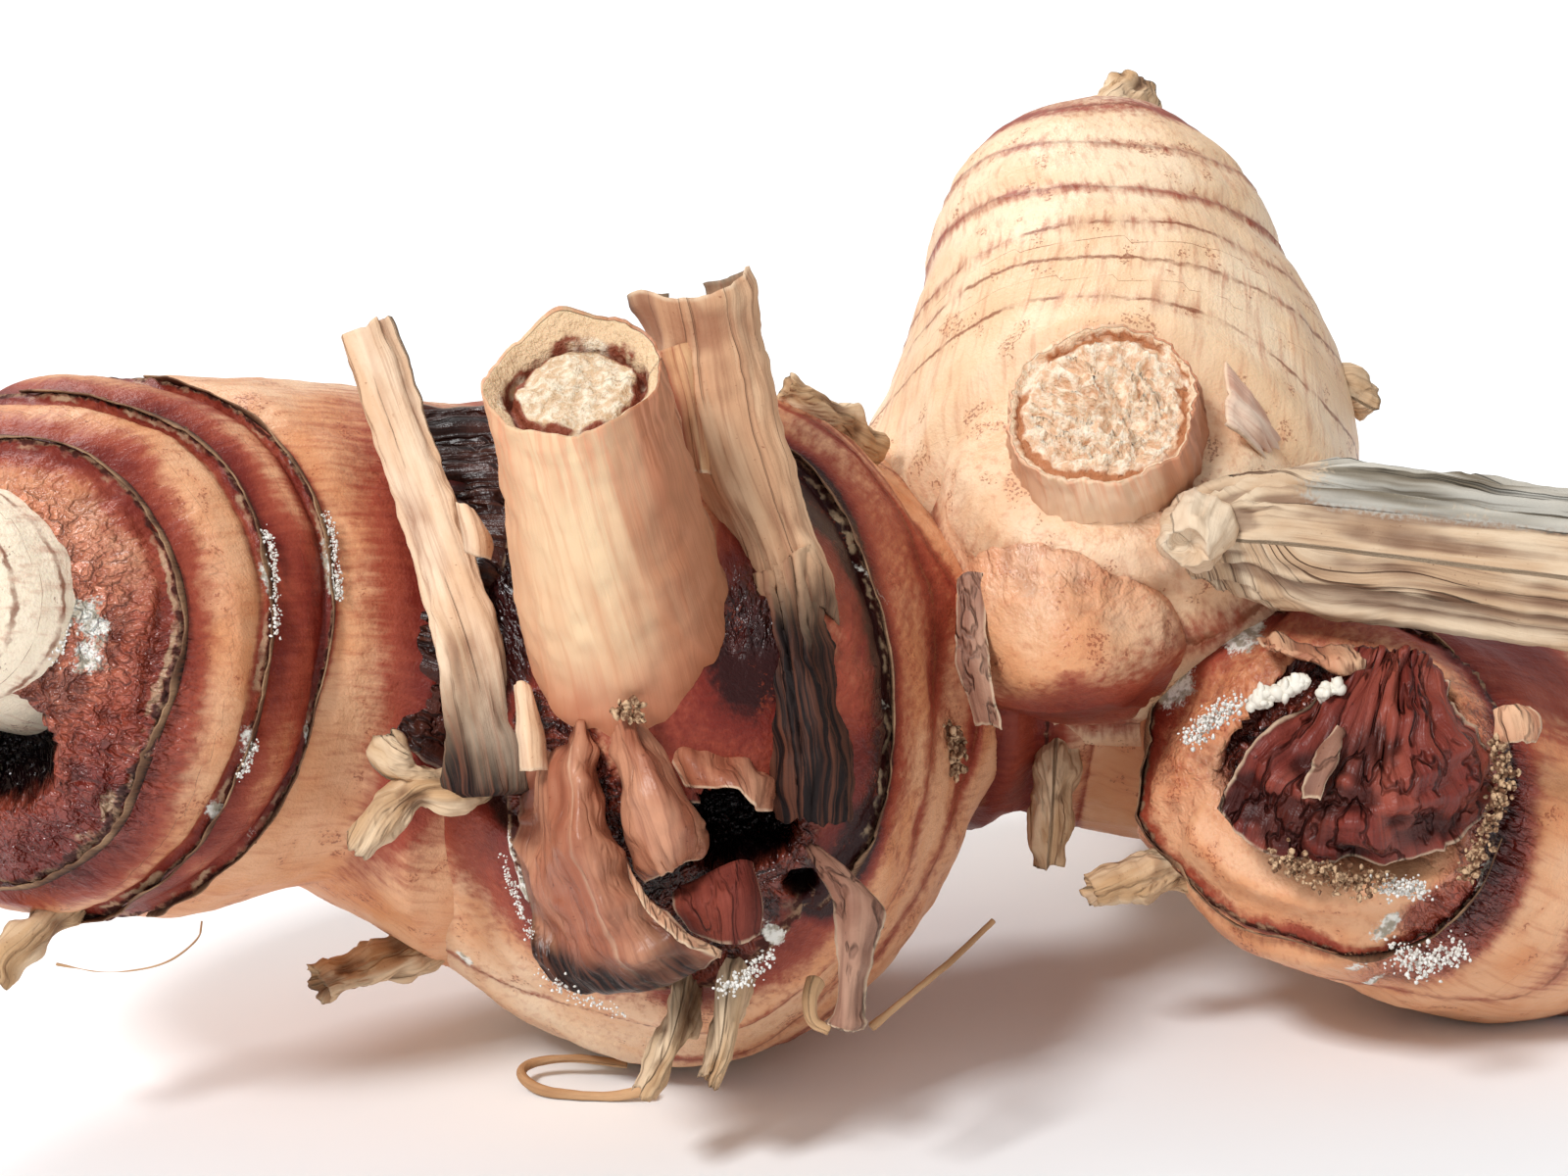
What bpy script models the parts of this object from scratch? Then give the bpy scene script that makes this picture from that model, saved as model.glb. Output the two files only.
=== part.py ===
"""A piece of fresh galangal rhizome with its cut shoots, dry sheaths, torn husks and root stubs.

Sizes and places are in millimetres, measured from a point on the floor below the swollen hub, with
+X to the right of the broken front face, +Y to the back and +Z up. CENTRE moves that point to the
middle of the piece's footprint. Blender gets the shapes in metres.
"""

import math

import bmesh
import bpy
import numpy as np

MM = 0.001
CENTRE = np.array((6.2, 14.0, 0.0))
GAP = 0.3
SPINE_SAMPLES = 240

# Lobes of the rhizome. A spine gives the x, y, z of the lobe's middle line and its radius there.
# Rings are the scars of the scale leaves: their place, counted in spine points, and their height.
LOBES = {
    "hub": {
        "spine": (
            (2.0, 24.0, 22.0, 13.0),
            (-3.5, 12.0, 21.8, 19.2),
            (-6.5, 0.0, 22.2, 21.2),
            (-6.5, -11.0, 23.3, 17.9),
            (-6.1, -18.5, 23.2, 14.7),
            (-5.8, -25.5, 22.6, 12.0),
        ),
        "flat": (0.9, 1.07),
        "rings": ((1.5, 0.5), (1.95, 0.7), (2.4, 0.6), (2.85, 0.9), (4.1, 0.8)),
        "caps": (9.0, 6.0),
        "sides": 26,
    },
    "left": {
        "spine": (
            (-8.0, 6.0, 22.5, 17.5),
            (-22.0, 3.2, 25.8, 18.2),
            (-32.0, -0.4, 29.2, 16.9),
            (-40.6, -6.0, 30.3, 17.8),
            (-46.6, -12.8, 31.1, 17.3),
            (-50.8, -19.0, 32.1, 14.9),
            (-53.4, -23.0, 33.0, 13.0),
        ),
        "flat": (1.0, 1.0),
        "rings": ((2.85, 1.1), (3.8, 1.2), (4.5, 0.5)),
        "caps": (6.0, 7.5),
        "sides": 26,
    },
    "neck": {
        "spine": (
            (-4.0, 12.0, 24.0, 14.0),
            (10.0, 18.0, 25.0, 13.5),
            (24.0, 20.0, 25.0, 13.5),
            (38.0, 15.0, 21.0, 12.5),
            (50.0, 9.0, 14.5, 10.5),
        ),
        "flat": (1.0, 1.0),
        "rings": ((0.9, 0.5), (1.3, 0.5)),
        "caps": (7.0, 7.0),
        "sides": 16,
    },
    "back": {
        "spine": (
            (23.5, 8.0, 28.0, 15.0),
            (24.2, 20.0, 40.0, 16.2),
            (23.2, 30.0, 49.5, 13.6),
            (22.8, 38.5, 59.3, 11.6),
        ),
        "flat": (1.0, 1.0),
        "rings": ((0.9, 0.5), (1.25, 0.5), (1.55, 0.5), (1.85, 0.6), (2.25, 0.7), (2.6, 0.4)),
        "caps": (7.0, 13.0),
        "sides": 24,
    },
    "rear": {
        "spine": (
            (24.0, 18.0, 25.0, 12.5),
            (31.0, 33.0, 18.0, 11.5),
            (36.0, 46.0, 10.6, 11.1),
            (38.0, 58.0, 9.8, 8.5),
        ),
        "flat": (1.0, 1.0),
        "rings": ((1.0, 0.5), (1.5, 0.6), (2.1, 0.6)),
        "caps": (6.0, 8.0),
        "sides": 18,
    },
    "right": {
        "spine": (
            (31.8, -9.0, 21.8, 11.0),
            (35.6, -3.5, 19.7, 12.5),
            (42.0, 2.0, 16.6, 13.2),
            (50.0, 7.0, 13.5, 13.9),
            (62.0, 13.5, 13.0, 13.3),
            (74.0, 19.0, 13.0, 11.0),
        ),
        "flat": (1.0, 1.0),
        "rings": ((1.05, 0.9), (1.9, 0.7), (3.3, 0.6), (4.1, 0.6)),
        "caps": (7.0, 9.0),
        "sides": 22,
    },
    "shoot_base": {
        "spine": (
            (24.0, 16.0, 32.0, 15.0),
            (23.0, 7.0, 36.0, 12.8),
            (22.2, 2.5, 39.5, 9.6),
            (21.6, -0.3, 42.7, 7.4),
        ),
        "flat": (1.0, 1.0),
        "rings": ((1.3, 0.4),),
        "caps": (5.0, 2.0),
        "sides": 16,
    },
    "knob": {
        "spine": (
            (20.4, 8.3, 28.6, 8.1),
            (18.9, -2.0, 30.4, 6.9),
            (18.2, -10.5, 29.6, 5.0),
        ),
        "flat": (1.05, 0.95),
        "rings": ((0.9, 0.4),),
        "caps": (4.0, 7.0),
        "sides": 14,
    },
    "left_bud": {
        "spine": (
            (-47.0, -14.0, 34.0, 7.5),
            (-52.0, -21.5, 37.0, 7.2),
            (-57.0, -28.5, 39.5, 4.5),
        ),
        "flat": (1.0, 1.0),
        "rings": ((1.2, 0.3), (1.6, 0.3)),
        "caps": (3.0, 6.0),
        "sides": 14,
    },
}
ROW_STEP = 5.0
RING_HALF_WIDTH = 1.0
CAP_ROWS = 4
LUMP_HEIGHT = 0.3

# Corky root stubs grown from the rhizome: the x, y, z of the middle line and the radius.
ROOTS = {
    "twisted": (
        (-15.0, -15.0, 25.0, 1.8),
        (-20.5, -20.2, 24.6, 1.5),
        (-23.2, -21.4, 24.4, 1.4),
        (-26.4, -21.6, 21.6, 1.0),
    ),
    "twisted_fork": ((-21.0, -20.4, 24.4, 1.2), (-23.8, -20.8, 26.0, 0.9), (-24.8, -20.6, 28.0, 0.6)),
    "under_left": ((-21.0, -1.0, 12.0, 1.8), (-25.5, -6.0, 8.6, 1.7), (-31.0, -8.6, 7.2, 1.5)),
    "front_pair_a": ((-6.0, -18.0, 12.0, 1.6), (-6.4, -23.5, 10.4, 1.4), (-8.6, -24.6, 6.6, 1.1)),
    "front_pair_b": ((-2.6, -18.0, 12.4, 1.6), (-3.4, -23.8, 11.0, 1.4), (-4.6, -24.8, 7.2, 1.2)),
    "under_neck": ((19.4, 9.0, 22.0, 1.5), (18.9, 5.4, 17.0, 1.4), (18.5, 4.0, 11.6, 1.1)),
    "right_lobe": ((31.0, -2.0, 14.0, 1.6), (25.6, -3.0, 13.2, 1.4), (20.8, -4.6, 12.4, 1.2)),
    "left_end": ((-44.0, -14.0, 18.0, 1.6), (-47.4, -19.6, 15.0, 1.4), (-49.8, -20.6, 12.6, 1.1)),
    "back_side": ((34.0, 17.0, 42.0, 1.9), (39.0, 18.2, 42.6, 1.7), (41.8, 18.8, 41.4, 1.2)),
    "back_top": ((22.8, 38.0, 57.0, 2.0), (26.4, 44.0, 59.6, 2.2), (27.0, 46.4, 60.8, 1.9)),
    "neck_top": ((6.0, 8.0, 40.0, 1.5), (3.4, 4.6, 43.4, 1.2), (0.4, 3.4, 45.4, 0.8)),
    "hub_back": ((-14.0, 14.0, 24.0, 1.6), (-22.0, 22.0, 22.0, 1.4), (-25.0, 25.0, 20.0, 1.1)),
    "rear_side": ((40.0, 44.0, 9.0, 1.5), (47.0, 46.0, 7.4, 1.3), (50.0, 47.0, 5.2, 1.0)),
}
ROOT_SIDES = 6
ROOT_ROWS = 5

# Hollows broken into the flesh: middle and half sizes.
HOLLOWS = {
    "front": ((-1.8, -26.0, 22.4), (4.4, 7.0, 2.8)),
    "left_end": ((-50.0, -25.0, 28.6), (4.6, 5.0, 4.2)),
}
FLOOR_LOW = (-90.0, -90.0, -60.0)
FLOOR_HIGH = (110.0, 110.0, 0.0)

# Cut shoots: middle line and radius, from the foot up.
FRONT_STUMP = (
    (-9.0, -18.3, 29.0, 6.9),
    (-9.7, -19.6, 33.5, 7.1),
    (-10.6, -21.0, 39.0, 6.6),
    (-11.6, -22.6, 45.5, 5.9),
    (-12.6, -24.1, 51.4, 5.6),
)
BACK_STUMP = (
    (22.1, 1.8, 40.4, 6.4),
    (21.7, 0.0, 42.4, 6.7),
    (21.1, -2.4, 45.2, 6.4),
)
# A cut end steps in from the rim: depth below the cut, and share of the radius.
FRONT_CUT = ((0.0, 1.0), (0.0, 0.84), (1.8, 0.8), (1.8, 0.66), (0.3, 0.62), (0.0, 0.3))
BACK_CUT = ((0.0, 1.0), (0.0, 0.86), (0.8, 0.82), (0.2, 0.45))
DRY_CUT = ((0.0, 1.0), (0.0, 0.5))

# Dry stems and sheaths: middle line and radius, from the foot up.
FRONT_SHEATH = (
    (2.0, -21.6, 26.0, 2.3),
    (1.5, -19.2, 31.0, 2.5),
    (-0.6, -15.2, 38.5, 2.9),
    (-3.6, -11.6, 46.0, 3.3),
    (-5.2, -9.1, 54.0, 3.5),
)
FRONT_SHEATH_TURNS = (-45.0, 215.0)
LEFT_STALK = (
    (-18.6, -22.3, 24.6, 2.6),
    (-18.9, -21.0, 28.5, 2.3),
    (-20.1, -18.0, 34.5, 1.9),
    (-23.3, -12.4, 42.5, 1.7),
    (-26.8, -7.8, 51.5, 1.6),
)
RIGHT_STEM = (
    (26.2, -4.6, 37.0, 2.2),
    (28.8, -5.0, 37.4, 3.6),
    (34.0, -5.8, 37.4, 5.0),
    (42.0, -8.4, 37.0, 5.0),
    (50.4, -11.3, 36.6, 5.1),
    (59.0, -14.2, 36.1, 4.9),
    (65.0, -16.2, 35.8, 4.7),
)
TOWARDS_FRONT = (0.0, -1.0, 0.0)
UPWARDS = (0.0, 0.0, 1.0)

# Papery scales: rows of points from the root to the torn edge.
SCALES = {
    "husk_scale_left": (
        ((-14.4, -23.0, 27.6), (-12.8, -27.8, 28.6), (-10.8, -27.4, 28.0)),
        ((-14.8, -22.4, 23.4), (-12.6, -28.0, 24.0), (-10.4, -26.4, 23.4)),
        ((-13.6, -22.0, 17.2), (-10.4, -28.0, 18.4), (-7.2, -26.4, 17.4)),
        ((-9.6, -22.0, 13.4), (-6.8, -27.0, 14.6), (-4.0, -26.2, 14.2)),
    ),
    "husk_scale_middle": (
        ((-7.6, -23.8, 21.6), (-6.0, -24.4, 20.8), (-4.6, -23.8, 22.6)),
        ((-8.9, -27.2, 27.0), (-7.0, -28.8, 28.0), (-5.6, -27.0, 26.6)),
        ((-10.0, -28.6, 32.0), (-8.7, -29.6, 32.8), (-7.6, -28.8, 31.6)),
    ),
    "husk_curl": (
        ((-3.8, -23.4, 27.4), (-2.4, -23.2, 28.2), (-0.8, -22.8, 27.6)),
        ((-3.6, -27.0, 27.4), (-2.0, -27.8, 28.4), (-0.3, -26.8, 27.6)),
        ((-2.8, -28.2, 24.8), (-1.4, -28.6, 25.8), (0.0, -28.0, 25.0)),
    ),
    "husk_plate": (
        ((-3.4, -23.0, 15.6), (-2.4, -23.4, 15.2), (-1.2, -22.8, 15.6)),
        ((-4.4, -26.4, 17.6), (-2.8, -27.2, 17.4), (-1.2, -26.4, 17.6)),
        ((-5.2, -26.8, 20.2), (-3.2, -27.4, 20.6), (-1.6, -26.8, 20.2)),
    ),
    "husk_flap_front": (
        ((0.2, -22.2, 23.0), (1.6, -22.0, 23.2), (3.0, -21.2, 22.8)),
        ((0.8, -25.4, 21.8), (2.6, -25.6, 21.9), (4.4, -24.6, 21.2)),
        ((2.8, -26.0, 19.4), (4.5, -26.2, 19.3), (6.2, -25.4, 18.7)),
        ((3.2, -26.2, 16.4), (4.4, -26.6, 16.3), (5.7, -26.0, 16.3)),
        ((2.2, -26.8, 11.4), (3.4, -27.2, 11.2), (5.0, -26.6, 11.0)),
    ),
    "leaf_sheath_back": (
        ((34.6, 5.2, 41.6), (34.2, 3.6, 40.2), (33.6, 2.6, 38.8)),
        ((31.8, 2.4, 45.4), (31.6, 0.2, 43.8), (31.2, -0.8, 42.0)),
        ((29.4, 1.4, 48.2), (29.2, -1.2, 46.4), (28.8, -2.2, 44.2)),
    ),
    "scale_strip_bud": (
        ((11.4, -2.6, 33.6), (12.4, -3.4, 34.2), (13.6, -4.2, 34.4)),
        ((10.9, -7.0, 29.8), (12.4, -8.2, 30.0), (13.8, -8.9, 29.8)),
        ((12.4, -8.4, 24.6), (13.4, -9.2, 24.8), (14.6, -9.6, 24.6)),
    ),
    "face_scale_right": (
        ((30, -4.5, 26.9), (34.2, -5.1, 30), (39, -5.9, 30.8), (42.9, -6.8, 30), (46.9, -6.4, 26.6)),
        ((28.6, -6.1, 22.6), (32.7, -9.7, 25.3), (38, -11.6, 27.8), (42.9, -11.4, 26), (47.1, -9.8, 22.3)),
        ((29.2, -8, 18.3), (33.1, -11.4, 20.1), (38.1, -13.6, 21.5), (42.5, -13, 20.4), (46.1, -11.7, 19)),
        ((31.7, -9.8, 15.4), (35, -11.3, 15.2), (38.2, -12, 15.1), (41, -12.6, 16.1), (43.8, -13, 17.5)),
    ),
}
SCALE_THICKNESS = 0.7
SCALE_ROWS_PER_SPAN = 3
SCALE_COLUMNS_PER_SPAN = 2

# Withered scale leaves that still lie on a lobe: from and to places along it, counted in spine
# points, from and to turns in degrees, and the height of the root and of the torn edge.
LYING_SCALES = {
    "dark_scale_left": ("hub", (2.75, 3.3), (15.0, 78.0), (-0.5, 1.1)),
    "ring_scale_right": ("hub", (2.85, 3.35), (130.0, 228.0), (-0.5, 1.1)),
    "ring_scale_left": ("left", (3.76, 4.1), (95.0, 265.0), (-0.6, 1.3)),
}
LYING_ROWS = 3
LYING_COLUMN_TURN = 10.0


def smoothed(points, count):
    """The smooth curve through the points, along their first axis, at evenly counted places."""
    points = np.asarray(points, float)
    held = np.concatenate([[2 * points[0] - points[1]], points, [2 * points[-1] - points[-2]]])
    place = np.linspace(0, len(points) - 1.000001, count)
    i = place.astype(int)
    f = (place - i).reshape(-1, *[1] * (points.ndim - 1))
    a, b, c, d = (held[i + k] for k in range(4))
    return 0.5 * (
        2 * b
        + (c - a) * f
        + (2 * a - 5 * b + 4 * c - d) * f**2
        + (3 * b - a - 3 * c + d) * f**3
    )


def unit(vectors):
    return vectors / np.linalg.norm(vectors, axis=-1, keepdims=True)


def spine_of(points, flat=(1.0, 1.0), up=UPWARDS):
    """The smooth middle line through the points, with its radius, lengths and axes."""
    line = smoothed(points, SPINE_SAMPLES)
    middle = line[:, :3]
    steps = np.linalg.norm(np.diff(middle, axis=0), axis=1)
    along = unit(np.gradient(middle, axis=0))
    side = unit(np.cross(along, up))
    return {
        "place": np.linspace(0, len(points) - 1, SPINE_SAMPLES),
        "length": np.concatenate([[0], np.cumsum(steps)]),
        "middle": middle,
        "radius": line[:, 3],
        "along": along,
        "side": side,
        "over": np.cross(side, along),
        "flat": flat,
    }


def read(spine, key, length):
    """A value of the spine at some lengths from its start."""
    values = spine[key]
    if values.ndim == 1:
        return np.interp(length, spine["length"], values)
    return np.stack([np.interp(length, spine["length"], values[:, k]) for k in range(3)], axis=-1)


def length_at(spine, place):
    """The length from the spine's start at a place counted in its points."""
    return np.interp(place, spine["place"], spine["length"])


def swept(spine, length, radius, turn):
    """Points round the spine at some lengths, radii and turns. Past the ends it runs on straight."""
    length, radius, turn = np.broadcast_arrays(length, radius, turn)
    beyond = length - np.clip(length, 0, spine["length"][-1])
    across = radius * np.cos(turn) * spine["flat"][0]
    up = radius * np.sin(turn) * spine["flat"][1]
    return (
        read(spine, "middle", length)
        + beyond[..., None] * read(spine, "along", length)
        + across[..., None] * read(spine, "side", length)
        + up[..., None] * read(spine, "over", length)
    )


def turns_of(sides):
    """The turns of a closed ring's points, as one row."""
    return np.arange(sides)[None] * 2 * math.pi / sides


def cap_share(length, whole, caps):
    """From 0 at the two ends to 1 past the caps, as on a quarter of an ellipse."""
    share = np.ones_like(length)
    for cap, to_end in zip(caps, (length, whole - length)):
        near = np.clip(1 - to_end / cap, 0, 1)
        share = np.minimum(share, np.sqrt(1 - near**2))
    return share


def scar_height(spine, rings, length):
    """How far the scars stand out of the lobe at these lengths: a narrow tent on each."""
    height = np.zeros_like(length)
    for place, tall in rings:
        tent = np.clip(1 - np.abs(length - length_at(spine, place)) / RING_HALF_WIDTH, 0, 1)
        height = np.maximum(height, tall * tent)
    return height


def lumps(length, turn):
    """Slow swells of the flesh, two and three to a turn."""
    return LUMP_HEIGHT * (np.sin(2 * turn + 0.13 * length) + 0.7 * np.sin(3 * turn - 0.17 * length))


def lobe_radius(data, spine, length, turn):
    """The lobe's radius with its domed ends, scars and lumps."""
    share = cap_share(length, spine["length"][-1], data["caps"])
    plain = read(spine, "radius", length) * share
    return plain + (scar_height(spine, data["rings"], length) + lumps(length, turn)) * share


def lobe_rows(data, spine):
    """Lengths where a lobe gets a ring of points: close together at the caps and at the scars."""
    whole = spine["length"][-1]
    caps = data["caps"]
    turn = np.linspace(0, math.pi / 2, CAP_ROWS + 1)[1:]
    start = caps[0] * (1 - np.cos(turn))
    end = whole - caps[1] * (1 - np.cos(turn))
    between = np.arange(caps[0] + ROW_STEP, whole - caps[1] - ROW_STEP / 2, ROW_STEP)
    scars = [length_at(spine, place) for place, _ in data["rings"]]
    plain = [
        row
        for row in np.concatenate([start, between, end])
        if all(abs(row - scar) > 1.6 * RING_HALF_WIDTH for scar in scars)
    ]
    marked = [scar + k * RING_HALF_WIDTH for scar in scars for k in (-1, 0, 1)]
    return np.sort(np.array(plain + marked))


def mesh_object(name, points, faces):
    """An object with this mesh, its points given in millimetres from the point below the hub."""
    mesh = bpy.data.meshes.new(name)
    places = (np.asarray(points, float).reshape(-1, 3) - CENTRE) * MM
    mesh.from_pydata(places.tolist(), [], faces)
    bm = bmesh.new()
    bm.from_mesh(mesh)
    bmesh.ops.recalc_face_normals(bm, faces=bm.faces)
    bm.to_mesh(mesh)
    bm.free()
    made = bpy.data.objects.new(name, mesh)
    bpy.context.scene.collection.objects.link(made)
    return made


def closed_tube(name, grid):
    """A closed solid from rings of points: quads between the rings and a fan over each end."""
    rows, sides, _ = grid.shape
    ends = [grid[0].mean(axis=0), grid[-1].mean(axis=0)]
    points = np.concatenate([grid.reshape(-1, 3), ends])
    faces = []
    for j in range(sides):
        k = (j + 1) % sides
        for i in range(rows - 1):
            a, b = i * sides, (i + 1) * sides
            faces.append((a + j, b + j, b + k, a + k))
        last = (rows - 1) * sides
        faces.append((rows * sides, j, k))
        faces.append((rows * sides + 1, last + k, last + j))
    return mesh_object(name, points, faces)


def blade(name, sheet, grow=0.0):
    """A thin closed solid round a sheet of points, split into triangles alike on both faces."""
    sheet = sheet.copy()
    if grow:
        sheet[0] -= unit(sheet[1] - sheet[0]) * grow
        sheet[-1] += unit(sheet[-1] - sheet[-2]) * grow
        sheet[:, 0] -= unit(sheet[:, 1] - sheet[:, 0]) * grow
        sheet[:, -1] += unit(sheet[:, -1] - sheet[:, -2]) * grow
    normal = unit(np.cross(np.gradient(sheet, axis=0), np.gradient(sheet, axis=1)))
    half = SCALE_THICKNESS / 2 + grow
    rows, columns, _ = sheet.shape
    count = rows * columns
    front, back = sheet + normal * half, sheet - normal * half
    faces = []
    for i in range(rows - 1):
        for j in range(columns - 1):
            a = i * columns + j
            b, c, d = a + columns, a + columns + 1, a + 1
            for p, q, r in ((a, b, c), (a, c, d)):
                faces += [(p, q, r), (count + p, count + r, count + q)]
    rim = (
        [j for j in range(columns)]
        + [i * columns + columns - 1 for i in range(1, rows)]
        + [(rows - 1) * columns + j for j in range(columns - 2, -1, -1)]
        + [i * columns for i in range(rows - 2, 0, -1)]
    )
    for a, b in zip(rim, rim[1:] + rim[:1]):
        faces.append((a, b, count + b, count + a))
    return mesh_object(name, np.concatenate([front.reshape(-1, 3), back.reshape(-1, 3)]), faces)


def ragged(count, seed):
    """A torn edge's heights between -1 and 1, one for each of some points, the same in each run."""
    return np.random.default_rng(seed).uniform(-1, 1, count)


def lobe(name):
    """One fleshy lobe: a swept round body with domed ends and a raised scar at each ring."""
    data = LOBES[name]
    spine = spine_of(data["spine"], data["flat"])
    turn = turns_of(data["sides"])
    length = lobe_rows(data, spine)[:, None] + 0 * turn
    grid = swept(spine, length, lobe_radius(data, spine, length, turn), turn)
    return closed_tube("lobe_" + name, grid)


def clear_up(points):
    """The world axis that a short spine runs least along, to turn its rings by."""
    run = np.abs(np.array(points[-1][:3]) - np.array(points[0][:3]))
    return np.eye(3)[run.argmin()]


def stem(name, points, cut, sides, rows, flat=(1.0, 1.0), up=TOWARDS_FRONT, tear=0.0, grow=0.0):
    """A round or flattened stem. Its foot is rounded and its upper end steps in as the cut says."""
    spine = spine_of(points, flat, up)
    whole = spine["length"][-1]
    turn = turns_of(sides)
    if grow:
        length = np.linspace(-grow, whole + grow + tear, rows)[:, None] + 0 * turn
        radius = read(spine, "radius", length) + grow / min(flat)
        return closed_tube(name, swept(spine, length, radius, turn))
    wall = np.linspace(0.0, whole, rows)[:-1]
    length = np.concatenate([wall, [whole - below for below, _ in cut]])[:, None] + 0 * turn
    share = np.concatenate([np.ones(len(wall)), [part for _, part in cut]])
    share[0] = 1 - 0.5 / read(spine, "radius", 0.0)
    radius = read(spine, "radius", length) * share[:, None]
    length[len(wall) : len(wall) + 2] += tear * ragged(sides, 5)
    return closed_tube(name, swept(spine, length, radius, turn))


def curled_sheet(points, turns, rows, columns, tear):
    """The sheet of a curled sheath: part of a tube, torn along its upper edge."""
    spine = spine_of(points, up=TOWARDS_FRONT)
    turn = np.radians(np.linspace(*turns, columns))[None]
    length = np.linspace(0, spine["length"][-1], rows)[:, None] + 0 * turn
    length[-1] += tear * ragged(columns, 11)
    return swept(spine, length, read(spine, "radius", length), turn)


def scale_sheet(rows):
    """A papery scale's sheet, smoothed through its few points."""
    down = smoothed(rows, SCALE_ROWS_PER_SPAN * (len(rows) - 1) + 1).swapaxes(0, 1)
    return smoothed(down, SCALE_COLUMNS_PER_SPAN * (len(down) - 1) + 1).swapaxes(0, 1)


def lying_sheet(lobe_name, places, turns, lifts):
    """A withered scale's sheet: it follows the lobe's skin and rises from it to a torn edge."""
    data = LOBES[lobe_name]
    spine = spine_of(data["spine"], data["flat"])
    start, end = (length_at(spine, place) for place in places)
    columns = int(abs(turns[1] - turns[0]) / LYING_COLUMN_TURN) + 2
    share = np.linspace(0, 1, LYING_ROWS)[:, None]
    turn = np.radians(np.linspace(*turns, columns))[None]
    reach = 1 - 0.3 * np.abs(ragged(columns, 7))[None]
    length = start + (end - start) * share * reach
    lift = lifts[0] + (lifts[1] - lifts[0]) * share
    return swept(spine, length, read(spine, "radius", length) + lumps(length, turn) + lift, turn)


def ellipsoid(name, middle, half):
    """A closed round body, for a hollow."""
    bm = bmesh.new()
    bmesh.ops.create_uvsphere(bm, u_segments=14, v_segments=9, radius=1.0)
    points = [np.array(v.co) * half + middle for v in bm.verts]
    faces = [[v.index for v in face.verts] for face in bm.faces]
    bm.free()
    return mesh_object(name, points, faces)


def block(name, low, high):
    """A plain box between two corners."""
    corners = [((low, high)[i][0], (low, high)[j][1], (low, high)[k][2]) for i, j, k in np.ndindex(2, 2, 2)]
    faces = [(0, 1, 3, 2), (4, 6, 7, 5), (0, 4, 5, 1), (2, 3, 7, 6), (0, 2, 6, 4), (1, 5, 7, 3)]
    return mesh_object(name, corners, faces)


def combine(target, others, operation):
    """Joins the others to the target one by one, or cuts them out of it, and removes them."""
    graph = bpy.context.evaluated_depsgraph_get()
    for item in others:
        change = target.modifiers.new(operation, "BOOLEAN")
        change.operation = operation
        change.object = item
        change.solver = "EXACT"
        graph.update()
        result = bpy.data.meshes.new_from_object(target.evaluated_get(graph))
        target.modifiers.clear()
        target.data = result
        bpy.data.objects.remove(item)
    return target


def drop_crumbs(item):
    """Removes the crumbs that a cut leaves loose, so that only the largest body stays."""
    bm = bmesh.new()
    bm.from_mesh(item.data)
    left = set(bm.verts)
    bodies = []
    while left:
        body = set()
        front = {left.pop()}
        while front:
            body |= front
            front = {edge.other_vert(v) for v in front for edge in v.link_edges} - body
        left -= body
        bodies.append(body)
    crumbs = sorted(bodies, key=len)[:-1]
    bmesh.ops.delete(bm, geom=[v for body in crumbs for v in body], context="VERTS")
    bm.to_mesh(item.data)
    bm.free()


def pieces(grow=0.0):
    """Everything that stands in the flesh or lies on it, larger by grow on all sides."""
    made = [
        stem("stem_stump_front", FRONT_STUMP, FRONT_CUT, 18, 7, tear=0.7, grow=grow),
        stem("stem_stump_back", BACK_STUMP, BACK_CUT, 18, 4, tear=0.5, grow=grow),
        stem("dry_stalk_left", LEFT_STALK, DRY_CUT, 8, 9, (1.0, 0.5), tear=0.8, grow=grow),
        stem("dry_stem_right", RIGHT_STEM, DRY_CUT, 12, 10, (0.42, 1.0), UPWARDS, tear=1.0, grow=grow),
        blade("leaf_sheath_front", curled_sheet(FRONT_SHEATH, FRONT_SHEATH_TURNS, 9, 11, 1.0), grow),
    ]
    made += [blade(name, scale_sheet(rows), grow) for name, rows in SCALES.items()]
    made += [blade(name, lying_sheet(*place), grow) for name, place in LYING_SCALES.items()]
    return made


def rhizome():
    """The flesh: its lobes and root stubs grown into one, with hollows, flats and sockets cut."""
    lobes = [lobe(name) for name in LOBES]
    stubs = [
        stem("root_" + name, points, ((0.0, 1.0),), ROOT_SIDES, ROOT_ROWS, up=clear_up(points))
        for name, points in ROOTS.items()
    ]
    whole = combine(lobes[0], lobes[1:] + stubs, "UNION")
    hollows = [ellipsoid("hollow_" + name, *sizes) for name, sizes in HOLLOWS.items()]
    floor = block("below_floor", FLOOR_LOW, FLOOR_HIGH)
    combine(whole, hollows + [floor] + pieces(GAP), "DIFFERENCE")
    drop_crumbs(whole)
    whole.name = "rhizome"
    return whole


# Each piece's material, its colour in linear light and its roughness.
MATERIALS = {
    "rhizome": ("galangal_flesh", (0.62, 0.36, 0.2), 0.5),
    "stem_stump_front": ("cut_shoot", (0.72, 0.56, 0.34), 0.55),
    "stem_stump_back": ("cut_shoot_pith", (0.78, 0.58, 0.4), 0.7),
    "dry_stalk_left": ("dry_stalk", (0.55, 0.38, 0.22), 0.75),
    "dry_stem_right": ("dry_stem", (0.42, 0.32, 0.22), 0.8),
    "leaf_sheath_front": ("dry_sheath", (0.4, 0.26, 0.15), 0.75),
    "dark_scale_left": ("withered_scale", (0.03, 0.012, 0.015), 0.6),
}
HUSK = ("papery_husk", (0.42, 0.2, 0.12), 0.75)
SMOOTH_ANGLE = math.radians(40)


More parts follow.
